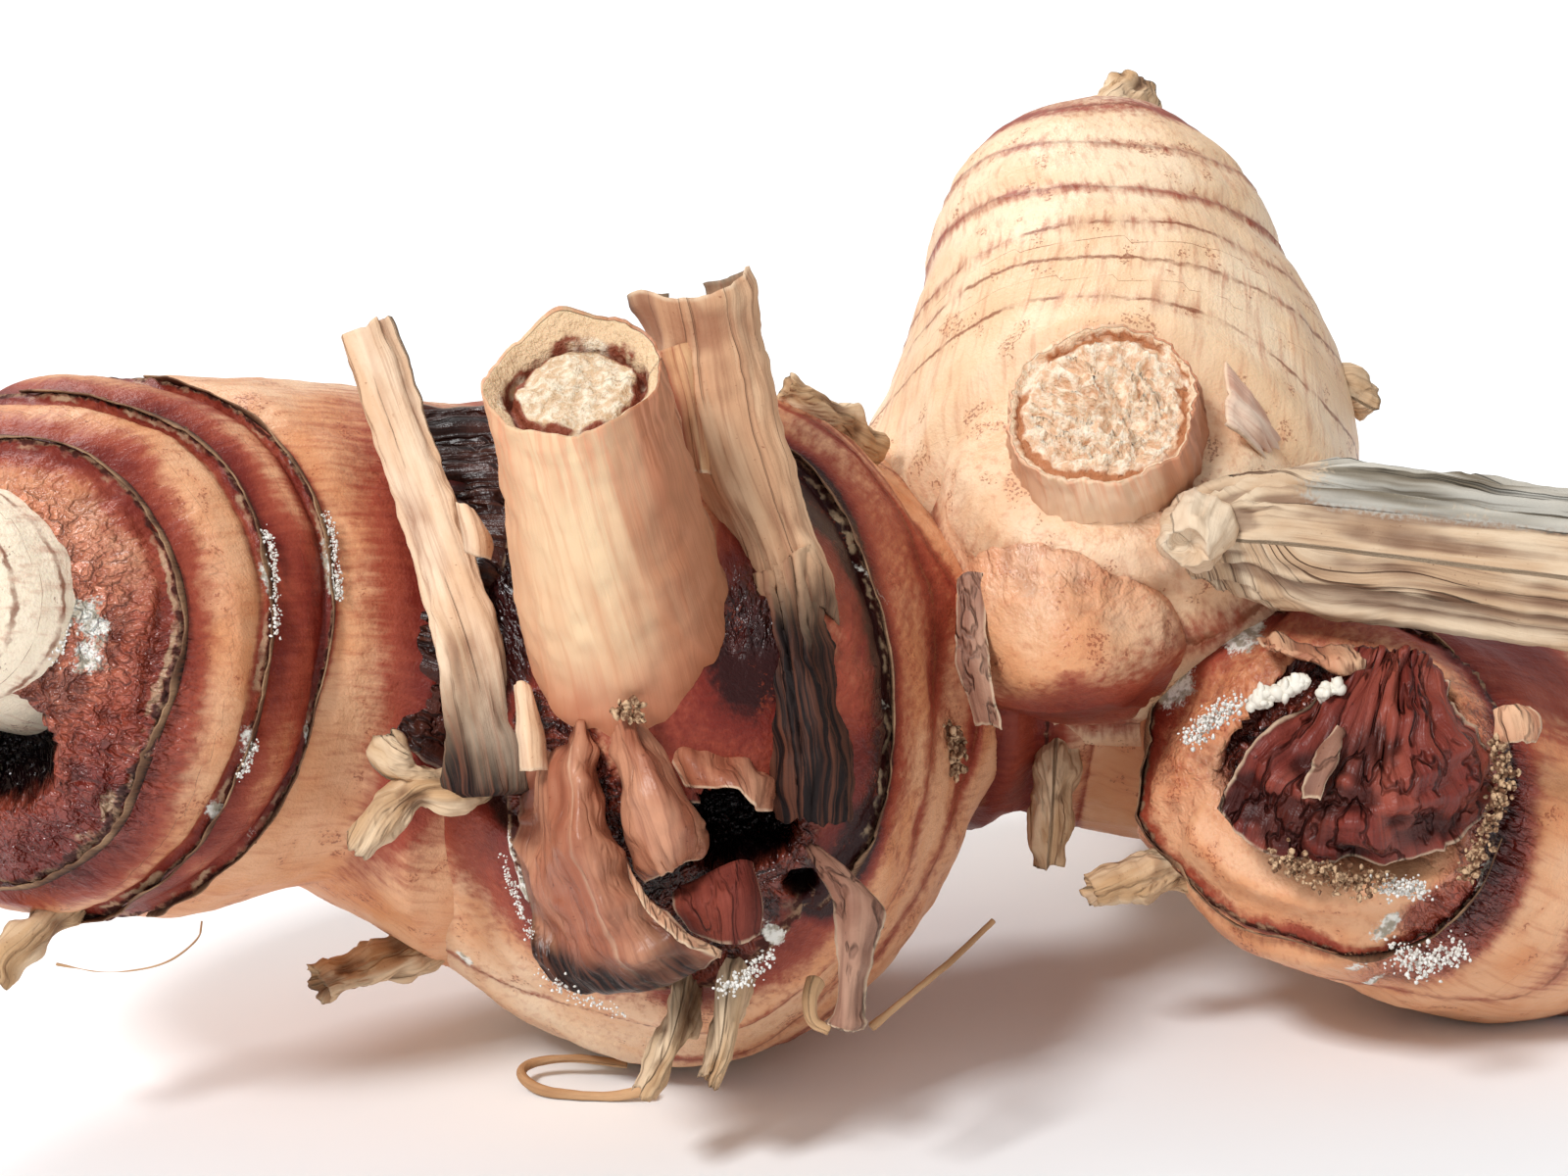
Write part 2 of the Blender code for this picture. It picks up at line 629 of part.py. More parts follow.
def paint(item):
    """Gives an object its material and shades it smooth except at sharp edges."""
    name, colour, roughness = MATERIALS.get(item.name, HUSK)
    material = bpy.data.materials.get(name) or bpy.data.materials.new(name)
    material.use_nodes = True
    shader = material.node_tree.nodes["Principled BSDF"]
    shader.inputs["Base Color"].default_value = (*colour, 1.0)
    shader.inputs["Roughness"].default_value = roughness
    item.data.materials.clear()
    item.data.materials.append(material)
    item.data.shade_smooth()
    item.data.set_sharp_from_angle(angle=SMOOTH_ANGLE)


def main():
    for item in list(bpy.data.objects):
        bpy.data.objects.remove(item)
    for item in [rhizome()] + pieces():
        paint(item)


main()
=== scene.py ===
"""Fresh galangal rhizome: the looks of its skin, cut shoots, dry sheaths, husks and root stubs.

Shapes are worked out in millimetres from a point on the floor below the swollen hub, with +X to the
right of the broken front face, +Y to the back and +Z up. CENTRE moves them into the frame, and
meshes are written in metres.
"""

import math

import bpy
import numpy as np
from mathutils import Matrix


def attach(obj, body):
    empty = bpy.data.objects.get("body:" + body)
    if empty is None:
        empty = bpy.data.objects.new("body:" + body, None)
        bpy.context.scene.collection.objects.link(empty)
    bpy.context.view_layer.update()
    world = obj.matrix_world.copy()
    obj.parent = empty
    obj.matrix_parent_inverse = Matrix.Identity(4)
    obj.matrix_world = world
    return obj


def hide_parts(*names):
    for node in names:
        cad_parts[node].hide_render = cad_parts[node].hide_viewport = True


bl_info = {
    "name": "Galangal rhizome",
    "version": (1, 0, 0),
    "blender": (4, 5, 0),
    "location": "View3D > Sidebar > Galangal",
    "description": "Builds a fresh galangal rhizome with cut shoots, dry sheaths and husks",
    "category": "Add Mesh",
}

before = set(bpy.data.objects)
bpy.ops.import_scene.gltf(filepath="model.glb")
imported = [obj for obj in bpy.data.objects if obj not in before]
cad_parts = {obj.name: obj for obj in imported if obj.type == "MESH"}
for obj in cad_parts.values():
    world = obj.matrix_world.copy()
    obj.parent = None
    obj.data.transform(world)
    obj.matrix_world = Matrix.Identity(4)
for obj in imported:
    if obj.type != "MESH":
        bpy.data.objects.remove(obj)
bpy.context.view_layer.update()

MM = 0.001
CENTRE = np.array((6.2, 14.0, 0.0))
# No point of a piece lies lower than this above the floor, in millimetres.
FLOOR_GAP = 0.1
# How many points a middle line and a turn round a lobe are worked out at.
SPINE_SAMPLES = 240
TURN_STEPS = 720
UPWARDS = (0, 0, 1)
TOWARDS_FRONT = (0, -1, 0)
ROUND = (1, 1)
# A gap in millimetres to a ring that isn't near, and the ring height that the crusts are drawn for.
FAR = 9.0
RING_HEIGHT = 0.0005
# The seed of a lobe's first ring, and how far the rings wander.
RING_SEED = 40
RING_SHAKE = 0.0085
# Swells of the flesh: heights in millimetres, and how wide the noise's are.
WAVE_HEIGHT = 0.3
SWELL_HEIGHT = 0.9
SWELL_SIZE = 9
LATTICE_SIZE = 32
# The photograph's camera: metres away, angle above the horizontal, and what it looks at.
CAMERA_DISTANCE = 0.25
CAMERA_RISE = math.radians(14)
CAMERA_TARGET = np.array((0.0, 0.0, 32.4))

# Lobes of the rhizome. A spine gives the x, y, z of the lobe's middle line and its radius there.
# Fine is the mesh's step, and soft is how widely the lobe runs into its neighbours.
LOBES = {
    "hub": {
        "spine": (
            (2, 24, 22, 13), (-3.5, 12, 21.8, 19.2), (-6.5, 0, 22.2, 21.2), (-6.5, -11, 23.3, 17.9),
            (-6.1, -18.5, 23.2, 14.7), (-5.8, -25.5, 22.6, 12),
        ),
        "flat": (0.9, 1.07), "caps": (9, 6), "fine": 0.42, "soft": 9,
    },
    "left": {
        "spine": (
            (-8, 6, 22.5, 17.5), (-22, 3.2, 25.8, 18.2), (-32, -0.4, 29.2, 16.9), (-40.6, -6, 30.3, 17.8),
            (-46.6, -12.8, 31.1, 17.3), (-50.8, -19, 32.1, 14.9), (-53.4, -23, 33, 13),
        ),
        "flat": (1, 1), "caps": (6, 7.5), "fine": 0.42, "soft": 9,
    },
    "neck": {
        "spine": (
            (-4, 12, 24, 14), (10, 18, 25, 13.5), (24, 20, 25, 13.5), (38, 15, 21, 12.5),
            (50, 9, 14.5, 10.5),
        ),
        "flat": (1, 1), "caps": (7, 7), "fine": 0.75, "soft": 8,
    },
    "back": {
        "spine": (
            (23.5, 8, 28, 15), (24.2, 20, 40, 16.2), (23.2, 30, 49.5, 13.6), (22.8, 38.5, 59.3, 11.6),
        ),
        "flat": (1, 1), "caps": (7, 13), "fine": 0.5, "soft": 8,
    },
    "rear": {
        "spine": ((24, 18, 25, 12.5), (31, 33, 18, 11.5), (36, 46, 10.6, 11.1), (38, 58, 9.8, 8.5)),
        "flat": (1, 1), "caps": (6, 8), "fine": 0.8, "soft": 7,
    },
    "right": {
        "spine": (
            (31.8, -9, 21.8, 11), (35.6, -3.5, 19.7, 12.5), (42, 2, 16.6, 13.2), (50, 7, 13.5, 13.9),
            (62, 13.5, 13, 13.3), (74, 19, 13, 11),
        ),
        "flat": (1, 1), "caps": (7, 9), "fine": 0.4, "soft": 5,
    },
    "shoot_base": {
        "spine": ((24, 16, 32, 15), (23, 7, 36, 12.8), (22.2, 2.5, 39.5, 9.6), (21.6, -0.3, 42.7, 7.4)),
        "flat": (1, 1), "caps": (5, 2), "fine": 0.46, "soft": 6,
    },
    "knob": {
        "spine": ((20.4, 8.3, 28.6, 8.1), (18.9, -2, 30.4, 6.9), (18.2, -10.5, 29.6, 5)),
        "flat": (1.05, 0.95), "caps": (4, 7), "fine": 0.3, "soft": 1.5,
    },
    "left_bud": {
        "spine": ((-45.6, -14, 34, 7.5), (-50, -21.5, 37, 7.4), (-54.4, -28.5, 39.5, 5)),
        "flat": (1, 1), "caps": (3, 6), "fine": 0.32, "soft": 1.2,
    },
}

# Ring scars. Marks are pairs of a turn in degrees and a length along the lobe in millimetres. Span
# gives the turns between which the scar shows; crust is its ridge's height, blush how strongly the
# skin is stained beside it and stain how far. Side is 1 when it is stained mostly towards the tip
# and -1 when mostly towards the root. A thin scar is a fine brown line.
RINGS = {
    "left": {
        "tip_ring": {
            "marks": (
                (20, 52), (84, 52.4), (100, 51.4), (113, 49.8), (143, 49.6), (156, 50.2), (168, 51),
                (192, 52.6), (230, 52.4), (270, 52.5), (330, 52),
            ),
            "crust": 0.35, "blush": 0.75, "stain": 2.6,
        },
        "middle_ring": {
            "marks": (
                (20, 46.5), (84, 47), (102, 44.3), (116, 41.6), (132, 41.1), (156, 41.8), (166, 43.2),
                (178, 44.1), (196, 45.7), (228, 47.3), (256, 46), (320, 46.5),
            ),
            "crust": 0.6, "blush": 0.95, "stain": 3, "side": -1,
        },
        "inner_ring": {
            "marks": (
                (20, 38), (80, 38.5), (104, 36.7), (126, 33.6), (152, 32.6), (158, 32.6), (170, 34.6),
                (186, 36), (207, 40.4), (228, 43), (250, 43), (310, 40),
            ),
            "crust": 0.6, "blush": 0.85, "stain": 2.4, "side": 1,
        },
        "far_ring": {
            "marks": ((0, 17), (90, 19), (300, 16)),
            "span": (240, 470), "thin": True, "blush": 0.3, "stain": 1.5,
        },
    },
    "hub": {
        "torn_ring": {
            "marks": (
                (60, 27), (85, 28), (111, 30.8), (126, 34.6), (141, 37.2), (158, 41.4), (170, 44.6),
                (192, 47.6), (215, 48.6), (250, 48),
            ),
            "span": (60, 212), "crust": 0.5, "blush": 1.7, "stain": 3.8, "side": 1,
        },
        "outer_fold": {
            "marks": (
                (60, 22), (120, 25), (152, 30.2), (166, 34.4), (177, 35.9), (196, 38.4), (212, 38.5),
                (227, 37.3), (260, 36), (290, 35),
            ),
            "span": (70, 280), "thin": True, "crust": 0.35, "blush": 0.5, "stain": 1.6,
        },
        "back_fold": {
            "marks": (
                (60, 17), (130, 22.4), (158, 26.5), (180, 27.4), (196, 30.6), (211, 33), (260, 31),
                (290, 30),
            ),
            "span": (60, 285), "thin": True, "crust": 0.35, "blush": 0.5, "stain": 1.5,
        },
        "hidden_fold": {
            "marks": ((0, 14), (90, 13), (180, 14), (270, 13.5)),
            "thin": True, "blush": 0.35, "stain": 1.5,
        },
        "lip_line": {
            "marks": ((225, 45.2), (239, 45), (264, 44.6), (285, 43.5), (296, 40.5), (305, 37), (330, 31)),
            "span": (222, 332), "thin": True, "crust": 0.5, "blush": 0.45, "stain": 0.9,
        },
        "face_rim": {
            "marks": (
                (20, 46), (357, 47), (340, 46.9), (325, 46.9), (313, 46.7), (298, 47.5), (272, 48.7),
                (250, 49), (233, 49.4), (210, 49.4), (190, 49.4), (90, 48.5),
            ),
            "span": (205, 385), "crust": 0.55, "blush": 0.85, "stain": 2.2,
        },
    },
    "right": {
        "face_ring": {
            "marks": (
                (34, 12.6), (60, 10), (90, 6.5), (115, 4.2), (142, 3.3), (176, 3.4), (190, 3.5), (228, 3.4),
                (267, 3.6), (292, 4.6), (312, 9.4), (337, 11.6), (362, 12.2),
            ),
            "crust": 0.5, "blush": 0.8, "stain": 1,
        },
        "low_fold": {
            "marks": ((255, 8), (279, 10), (292, 14), (300, 19), (312, 22.5), (330, 24)),
            "span": (262, 372), "thin": True, "crust": 0.3, "blush": 0.4, "stain": 1.3,
        },
        "outer_ring": {
            "marks": ((0, 31), (90, 29), (180, 27), (270, 29.5)),
            "crust": 0.35, "blush": 0.5, "stain": 1.8,
        },
        "end_ring": {
            "marks": ((0, 41), (90, 39), (180, 38), (270, 40)),
            "crust": 0.35, "blush": 0.5, "stain": 1.8,
        },
    },
    "back": {
        "base_ring": {
            "marks": ((0, 12), (38, 11.5), (66, 14.6), (90, 15.6), (120, 16.6), (180, 15)),
            "thin": True, "crust": 0.25, "blush": 0.22, "stain": 1.2,
        },
        "low_ring": {
            "marks": ((0, 18), (66, 18.8), (86, 19.2), (110, 20), (148, 20.6), (200, 18.5)),
            "thin": True, "crust": 0.25, "blush": 0.22, "stain": 1.1,
        },
        "second_ring": {
            "marks": ((0, 22.5), (60, 22.6), (90, 22.8), (148, 23.4), (230, 22.5)),
            "thin": True, "crust": 0.25, "blush": 0.3, "stain": 1,
        },
        "bold_ring": {
            "marks": ((0, 29), (26, 28.4), (78, 26.8), (100, 27.2), (120, 28.3), (150, 29.6), (230, 29.5)),
            "crust": 0.3, "blush": 0.5, "stain": 1,
        },
        "top_ring": {
            "marks": ((0, 34.4), (60, 33.4), (90, 33.2), (130, 34.6), (230, 35)),
            "crust": 0.28, "blush": 0.4, "stain": 1,
        },
        "crown_ring": {
            "marks": ((0, 39.6), (80, 39.2), (230, 39.4)),
            "thin": True, "crust": 0.25, "blush": 0.55, "stain": 1.6,
        },
    },
    "rear": {
        "first_ring": {
            "marks": ((0, 17), (120, 18), (240, 16.4)),
            "crust": 0.4, "blush": 0.5, "stain": 1.5,
        },
        "second_ring": {
            "marks": ((0, 25.5), (120, 24.8), (240, 26)),
            "crust": 0.4, "blush": 0.5, "stain": 1.5,
        },
        "third_ring": {
            "marks": ((0, 34.4), (120, 34), (240, 35)),
            "crust": 0.4, "blush": 0.6, "stain": 1.8,
        },
    },
    "neck": {
        "first_ring": {
            "marks": ((0, 15), (120, 14), (240, 15.5), (327, 15.5)),
            "thin": True, "crust": 0.35, "blush": 0.45, "stain": 1.6,
        },
        "second_ring": {
            "marks": ((0, 20.4), (120, 19.5), (240, 21)),
            "crust": 0.4, "blush": 0.5, "stain": 1.8,
        },
        "third_ring": {
            "marks": ((0, 28.5), (120, 27.5), (240, 29)),
            "thin": True, "crust": 0.3, "blush": 0.4, "stain": 1.6,
        },
    },
    "shoot_base": {
        "collar_ring": {
            "marks": ((0, 12.5), (90, 13), (180, 12), (283, 13.6)),
            "thin": True, "crust": 0.3, "blush": 0.4, "stain": 1.2,
        },
        "foot_ring": {
            "marks": ((0, 7.5), (90, 8), (180, 8), (270, 7)),
            "thin": True, "crust": 0.3, "blush": 0.4, "stain": 1.4,
        },
    },
    "knob": {},
    "left_bud": {
        "scale_edge": {
            "marks": ((0, 9.2), (90, 10.6), (168, 9.8), (270, 10.6)),
            "thin": True, "crust": 0.3, "blush": 0.3, "stain": 0.5,
        },
        "inner_edge": {
            "marks": ((0, 12.6), (90, 14), (168, 13), (270, 12.4)),
            "thin": True, "crust": 0.25, "blush": 0.2, "stain": 0.4,
        },
    },
}

# Stains on the skin: turn and length of the middle, half sizes in degrees and millimetres, and how
# strong. Negative ones bleach.
STAINS = {
    "left": (
        (185, 56, 90, 6, 0.12), (235, 54.5, 34, 5, 0.45), (158, 37, 15, 2.4, 0.85),
        # The stains at turn 150, lengths 23.6 and 20.6, are painted shade in the crease where this lobe
        # meets the hub.
        (182, 39.5, 20, 2.4, 0.55), (120, 47, 18, 2.6, 0.35), (150, 23.6, 50, 6, 0.95),
        (110, 40, 16, 3, 0.25), (205, 24, 30, 4, 0.35), (150, 45, 26, 2, -0.25), (150, 20.6, 40, 3, 1.1),
    ),
    "hub": (
        (90, 49.5, 55, 4.5, 0.7), (150, 43.5, 26, 5, 0.5), (178, 44.5, 16, 4, 0.35), (135, 33, 44, 7, 0.4),
        (165, 27, 40, 4, 0.3), (122, 36, 16, 4, 0.4), (335, 43.5, 30, 3, 0.45), (10, 38, 30, 8, 0.8),
        (60, 34, 30, 8, 0.6), (285, 40, 25, 5, -0.3), (275, 47, 30, 1.6, -0.2),
    ),
    "right": (
        # The stains on top at turns 95 and 82 are painted shadow cast by the dry stem above.
        (150, 1.5, 90, 2.4, 0.25), (0, 13, 40, 2.6, 0.6), (330, 14.5, 24, 2.4, 0.55), (95, 8, 34, 4, 0.7),
        (82, 17, 44, 10, 1.1), (215, 2.6, 26, 1.6, -0.3), (262, 2.8, 26, 1.6, -0.3),
    ),
    # The neck's stain at turn 300 is painted shade on its low front side.
    "neck": ((300, 14, 60, 8, 0.6), (20, 20, 60, 10, 0.35), (270, 25, 40, 12, 0.3)),
    "knob": ((250, 15, 70, 6, 0.75), (270, 8, 80, 6, 0.7)),
    "shoot_base": ((300, 12, 40, 5, 0.2),),
    "back": ((90, 42.5, 150, 2, 0.4),),
    "rear": ((0, 45, 180, 3, 0.4),),
}

# Paler and darker places of the skin: turn, length, half sizes and strength.
PALE = {
    # On the hub, the pale place at turn 300, low on its left, is painted light bounced up from the floor,
    # and the darker one at turn 180 is painted shade on its right side, away from the key light.
    "hub": ((300, 30, 45, 16, 0.55), (255, 40, 30, 8, 0.3), (180, 40, 60, 14, -0.2)),
    "left": ((85, 30, 30, 12, 0.35), (60, 50, 30, 6, 0.2)),
    "neck": ((90, 30, 60, 14, 0.3),),
    "knob": ((60, 14, 40, 5, 0.2),),
    "left_bud": ((0, 10, 400, 9, 0.5),),
}

# Shapes pressed into a broken face, seen from the front: kind, x and z of the middle, half sizes,
# softness, push out in millimetres, what they add to the skin's fields, and a ring's two angles.
STAMPS = {
    "right": (
        ("disc", 37.2, 22.6, 9.6, 7.8, 0.35, -2.2, {"raw": 1, "stain": 0.3, "wrinkle": 0.5}),
        (
            "ring", 34.8, 20.6, 9.3, 6.9, 0.17, 1.5,
            {"stain": -0.3, "cream": 0.05, "wrinkle": -0.5, "raw": -1.3},
            150, 318,
        ),
        (
            "disc", 28.6, 27.8, 6.4, 3.4, 0.45, -0.3,
            {"raw": 0.3, "stain": 1.3, "wrinkle": 1.3, "cream": -0.6},
        ),
        ("disc", 43.4, 13.2, 4, 3, 0.6, 0, {"stain": 0.5, "wrinkle": 0.4}),
        ("disc", 47.8, 19, 3.4, 9, 0.9, -0.4, {"stain": 0.5, "wrinkle": 0.5}),
    ),
    "hub": (
        ("disc", -3.4, 29.8, 9.5, 6.5, 0.5, 0, {"stain": 0.12, "wrinkle": -0.8, "raw": -2, "cream": 0.25}),
        ("disc", 2.4, 27, 5, 4, 0.8, 0, {"stain": 0.5}),
        # Painted shadow between the front stump and the sheath.
        ("disc", -1.6, 36, 5, 9, 0.8, 0, {"stain": 1, "wrinkle": 0.3}),
        # Painted shade in the dark crease at the hub's left, beside the dry stalk.
        ("disc", -17.6, 35, 4, 8, 0.7, 0, {"stain": 1.4, "wrinkle": 0.4}),
        ("disc", -17.4, 24.6, 3.4, 3.2, 0.6, -1.6, {"stain": 1, "wrinkle": 0.3}),
    ),
}

# How pale and creamy each lobe's skin is.
CREAM = {
    "hub": 0.12, "left": 0.05, "neck": 0.35, "back": 1, "rear": 0.6, "right": 0.05, "shoot_base": 0.7,
    "knob": 0.34, "left_bud": 1.4,
}

# Where the skin is wrinkled: turn, length, half sizes and strength.
WRINKLES = {
    "left": ((190, 56, 100, 5.5, 1), (150, 46.5, 30, 2.5, 0.3)),
    "hub": ((90, 50, 60, 5, 0.5), (160, 44, 30, 4, 0.35), (60, 36, 30, 6, 0.6)),
    "right": ((0, 10, 60, 5, 0.7), (180, 1, 180, 3, 0.35), (320, 13, 30, 4, 0.6)),
    "neck": ((200, 20, 90, 14, 0.3),),
    "knob": ((90, 12, 120, 9, 0.42),),
    "shoot_base": ((230, 18, 60, 5, 0.3), (320, 18, 50, 4, 0.2)),
}

# Tufts of white mould: turn, length, half sizes and strength.
MOULD = {
    "left": (
        (156, 41.9, 5, 0.9, 1), (190, 45.2, 5, 0.8, 0.8), (148, 33, 5, 0.8, 0.9), (157, 32.8, 4, 0.8, 0.9),
        (190, 36.8, 5, 0.7, 0.6), (214, 41.6, 5, 0.7, 0.6), (206, 46.4, 4, 0.8, 0.8),
        (128, 33.6, 3, 0.6, 0.6), (158, 54.6, 9, 1, 1), (172, 54.8, 5, 0.8, 0.7),
    ),
    "hub": (
        (352, 46.8, 7, 0.5, 0.7), (338, 46.9, 7, 0.5, 0.7), (228, 49.6, 5, 0.6, 1),
        (140, 36.8, 10, 0.4, 0.6), (160, 42.4, 8, 0.4, 0.6), (322, 33.5, 3, 0.9, 0.8),
    ),
    "right": (
        (150, 2.9, 12, 0.9, 0.9), (118, 3.4, 10, 1, 1), (315, 5.6, 8, 1, 0.9), (300, 8.6, 8, 1, 0.8),
        (345, 11.8, 12, 0.8, 0.5), (296, 12.2, 8, 0.8, 0.8),
    ),
}

# Hollows broken into the flesh from the front: middle and half sizes.
HOLLOWS = {
    "hub": (((-2.9, -26, 23.3), (4, 7, 2.9)), ((1.1, -24.6, 19.2), (1.2, 4.5, 1.2))),
    "left": (((-47.8, -26, 28.6), (3.4, 6.4, 3.8)),),
}

# Cut shoots: middle line and radius from the foot up.
FRONT_STUMP = (
    (-9, -18.3, 29, 6.3), (-9.6, -19.6, 33.5, 6.35), (-10.6, -21, 39, 6.1), (-11.6, -22.6, 45.5, 5.7),
    (-12.6, -24.1, 51.4, 5.5),
)
BACK_STUMP = ((22.1, 1.8, 40.4, 6.4), (21.7, 0, 42.4, 6.7), (21.1, -2.4, 45.2, 6.4))
# A cut end's profile: depth below the cut, and share of the radius.
FRONT_CUT = (
    (0, 1), (0.2, 0.95), (0.6, 0.88), (0.9, 0.82), (1.8, 0.79), (1.8, 0.73), (0.9, 0.68), (0.6, 0.4),
    (0.8, 0),
)
BACK_CUT = ((0, 1), (0.1, 0.97), (0.2, 0.94), (0.6, 0.91), (0.4, 0.86), (0.1, 0.8), (0, 0.4), (0.1, 0))
DRY_CUT = ((0, 1), (0.1, 0.9), (0.9, 0.7), (1.1, 0))
ROOT_CUT = ((0, 1), (0.4, 0.8), (0.9, 0.5), (1.1, 0))
KNOB_CUT = ((0, 1), (0.5, 0.5), (0.9, 0))

# Dry stems and sheaths: middle line and radius, from the foot up.
FRONT_SHEATH = (
    (2, -21.6, 26, 2.3), (1.5, -19.2, 31, 2.5), (-0.6, -15.2, 38.5, 2.9), (-3.6, -11.6, 46, 3.3),
    (-5.2, -9.1, 54, 3.5),
)
LEFT_STALK = (
    (-18.6, -22.3, 24.6, 2.6), (-18.9, -21, 28.5, 2.3), (-20.1, -18, 34.5, 1.9), (-23.3, -12.4, 42.5, 1.7),
    (-26.8, -7.8, 51.5, 1.6),
)
RIGHT_STEM = (
    (26.2, -4.6, 37, 2.2), (28.8, -5, 37.4, 3.6), (34, -5.8, 37.4, 5), (42, -8.4, 37, 5),
    (50.4, -11.3, 36.6, 5.1), (59, -14.2, 36.1, 4.9), (65, -16.2, 35.8, 4.7),
)
STEM_KNOB = (
    (27.6, -3.4, 38.2, 1.5), (27.2, -5.4, 37.9, 2.3), (26.6, -7.6, 37.5, 2.1), (26.2, -8.8, 37.2, 1.4),
)
# The front sheath's two edges in degrees round its middle line, and where it starts along it.
SHEATH_TURNS = (-100, 258)
SHEATH_FOOT = 6.5

# Corky root stubs: middle line with its radius, and how flat they are.
ROOTS = {
    "twisted": (
        (
            (-15, -15, 25, 1.8), (-20.5, -20.2, 24.6, 1.5), (-23.2, -21.4, 24.4, 1.4),
            (-26.4, -21.6, 21.6, 1),
        ),
        (1.3, 0.8),
    ),
    "twisted_fork": (((-21, -20.4, 24.4, 1.2), (-23.8, -20.8, 26, 0.9), (-24.8, -20.6, 28, 0.6)), (1, 1)),
    "under_left": (((-21, -1, 12, 1.8), (-25.5, -6, 8.6, 1.7), (-31, -8.6, 7.2, 1.5)), (1.2, 0.8)),
    "front_pair_a": (((-6, -18, 12, 1.6), (-6.4, -23.5, 10.4, 1.4), (-8.6, -24.6, 6.6, 1.1)), (1.5, 0.7)),
    "front_pair_b": (((-2.6, -18, 12.4, 1.6), (-3.4, -23.8, 11, 1.4), (-4.6, -24.8, 7.2, 1.2)), (1.5, 0.7)),
    "under_neck": (((19.4, 9, 22, 1.5), (18.9, 5.4, 17, 1.4), (18.5, 4, 11.6, 1.1)), (1, 1)),
    "right_lobe": (((31, -2, 14, 1.6), (25.6, -3, 13.2, 1.4), (20.8, -4.6, 12.4, 1.2)), (1, 1)),
    "left_end": (((-44, -14, 18, 1.6), (-47.4, -19.6, 15, 1.4), (-49.8, -20.6, 12.6, 1.1)), (1, 1)),
    "back_side": (((34, 17, 42, 1.9), (39, 18.2, 42.6, 1.7), (41.8, 18.8, 41.4, 1.2)), (1, 1)),
    "back_top": (((22.8, 38, 57, 2), (26.4, 44, 59.6, 2.2), (27, 46.4, 60.8, 1.9)), (1, 1)),
    "neck_top": (((6, 8, 40, 1.5), (3.4, 4.6, 43.4, 1.2), (0.4, 3.4, 45.4, 0.8)), (1, 1)),
    "hub_back": (((-14, 14, 24, 1.6), (-22, 22, 22, 1.4), (-25, 25, 20, 1.1)), (1, 1)),
    "rear_side": (((40, 44, 9, 1.5), (47, 46, 7.4, 1.3), (50, 47, 5.2, 1)), (1, 1)),
}

# Thin roots and hairs: middle line and radius.
FIBRES = {
    "loop": (
        (
            (-8.9, -11.7, 1), (-11.7, -11.4, 0.3), (-15.7, -10.8, 0.4), (-17.6, -9.2, 0.9),
            (-16.9, -7.5, 1.2), (-13.9, -7.5, 1.5), (-10.6, -7.6, 1.1),
        ),
        0.42,
    ),
    "thin_root": (((5.7, -13.8, 6.1), (8.4, -12.8, 8.1), (11.1, -11.3, 9.9), (13.9, -9.2, 11.9)), 0.3),
    "black_root": (((2, -23.4, 12.9), (1.6, -24.6, 12.1), (1.8, -25, 10.8), (2.8, -25.1, 10.2)), 0.6),
    "left_hair": (
        (
            (-45.6, -23.2, 13.9), (-42.4, -23.3, 13.4), (-39, -23.2, 13.9), (-37, -21.9, 15),
            (-36.8, -20.6, 15.8),
        ),
        0.07,
    ),
}

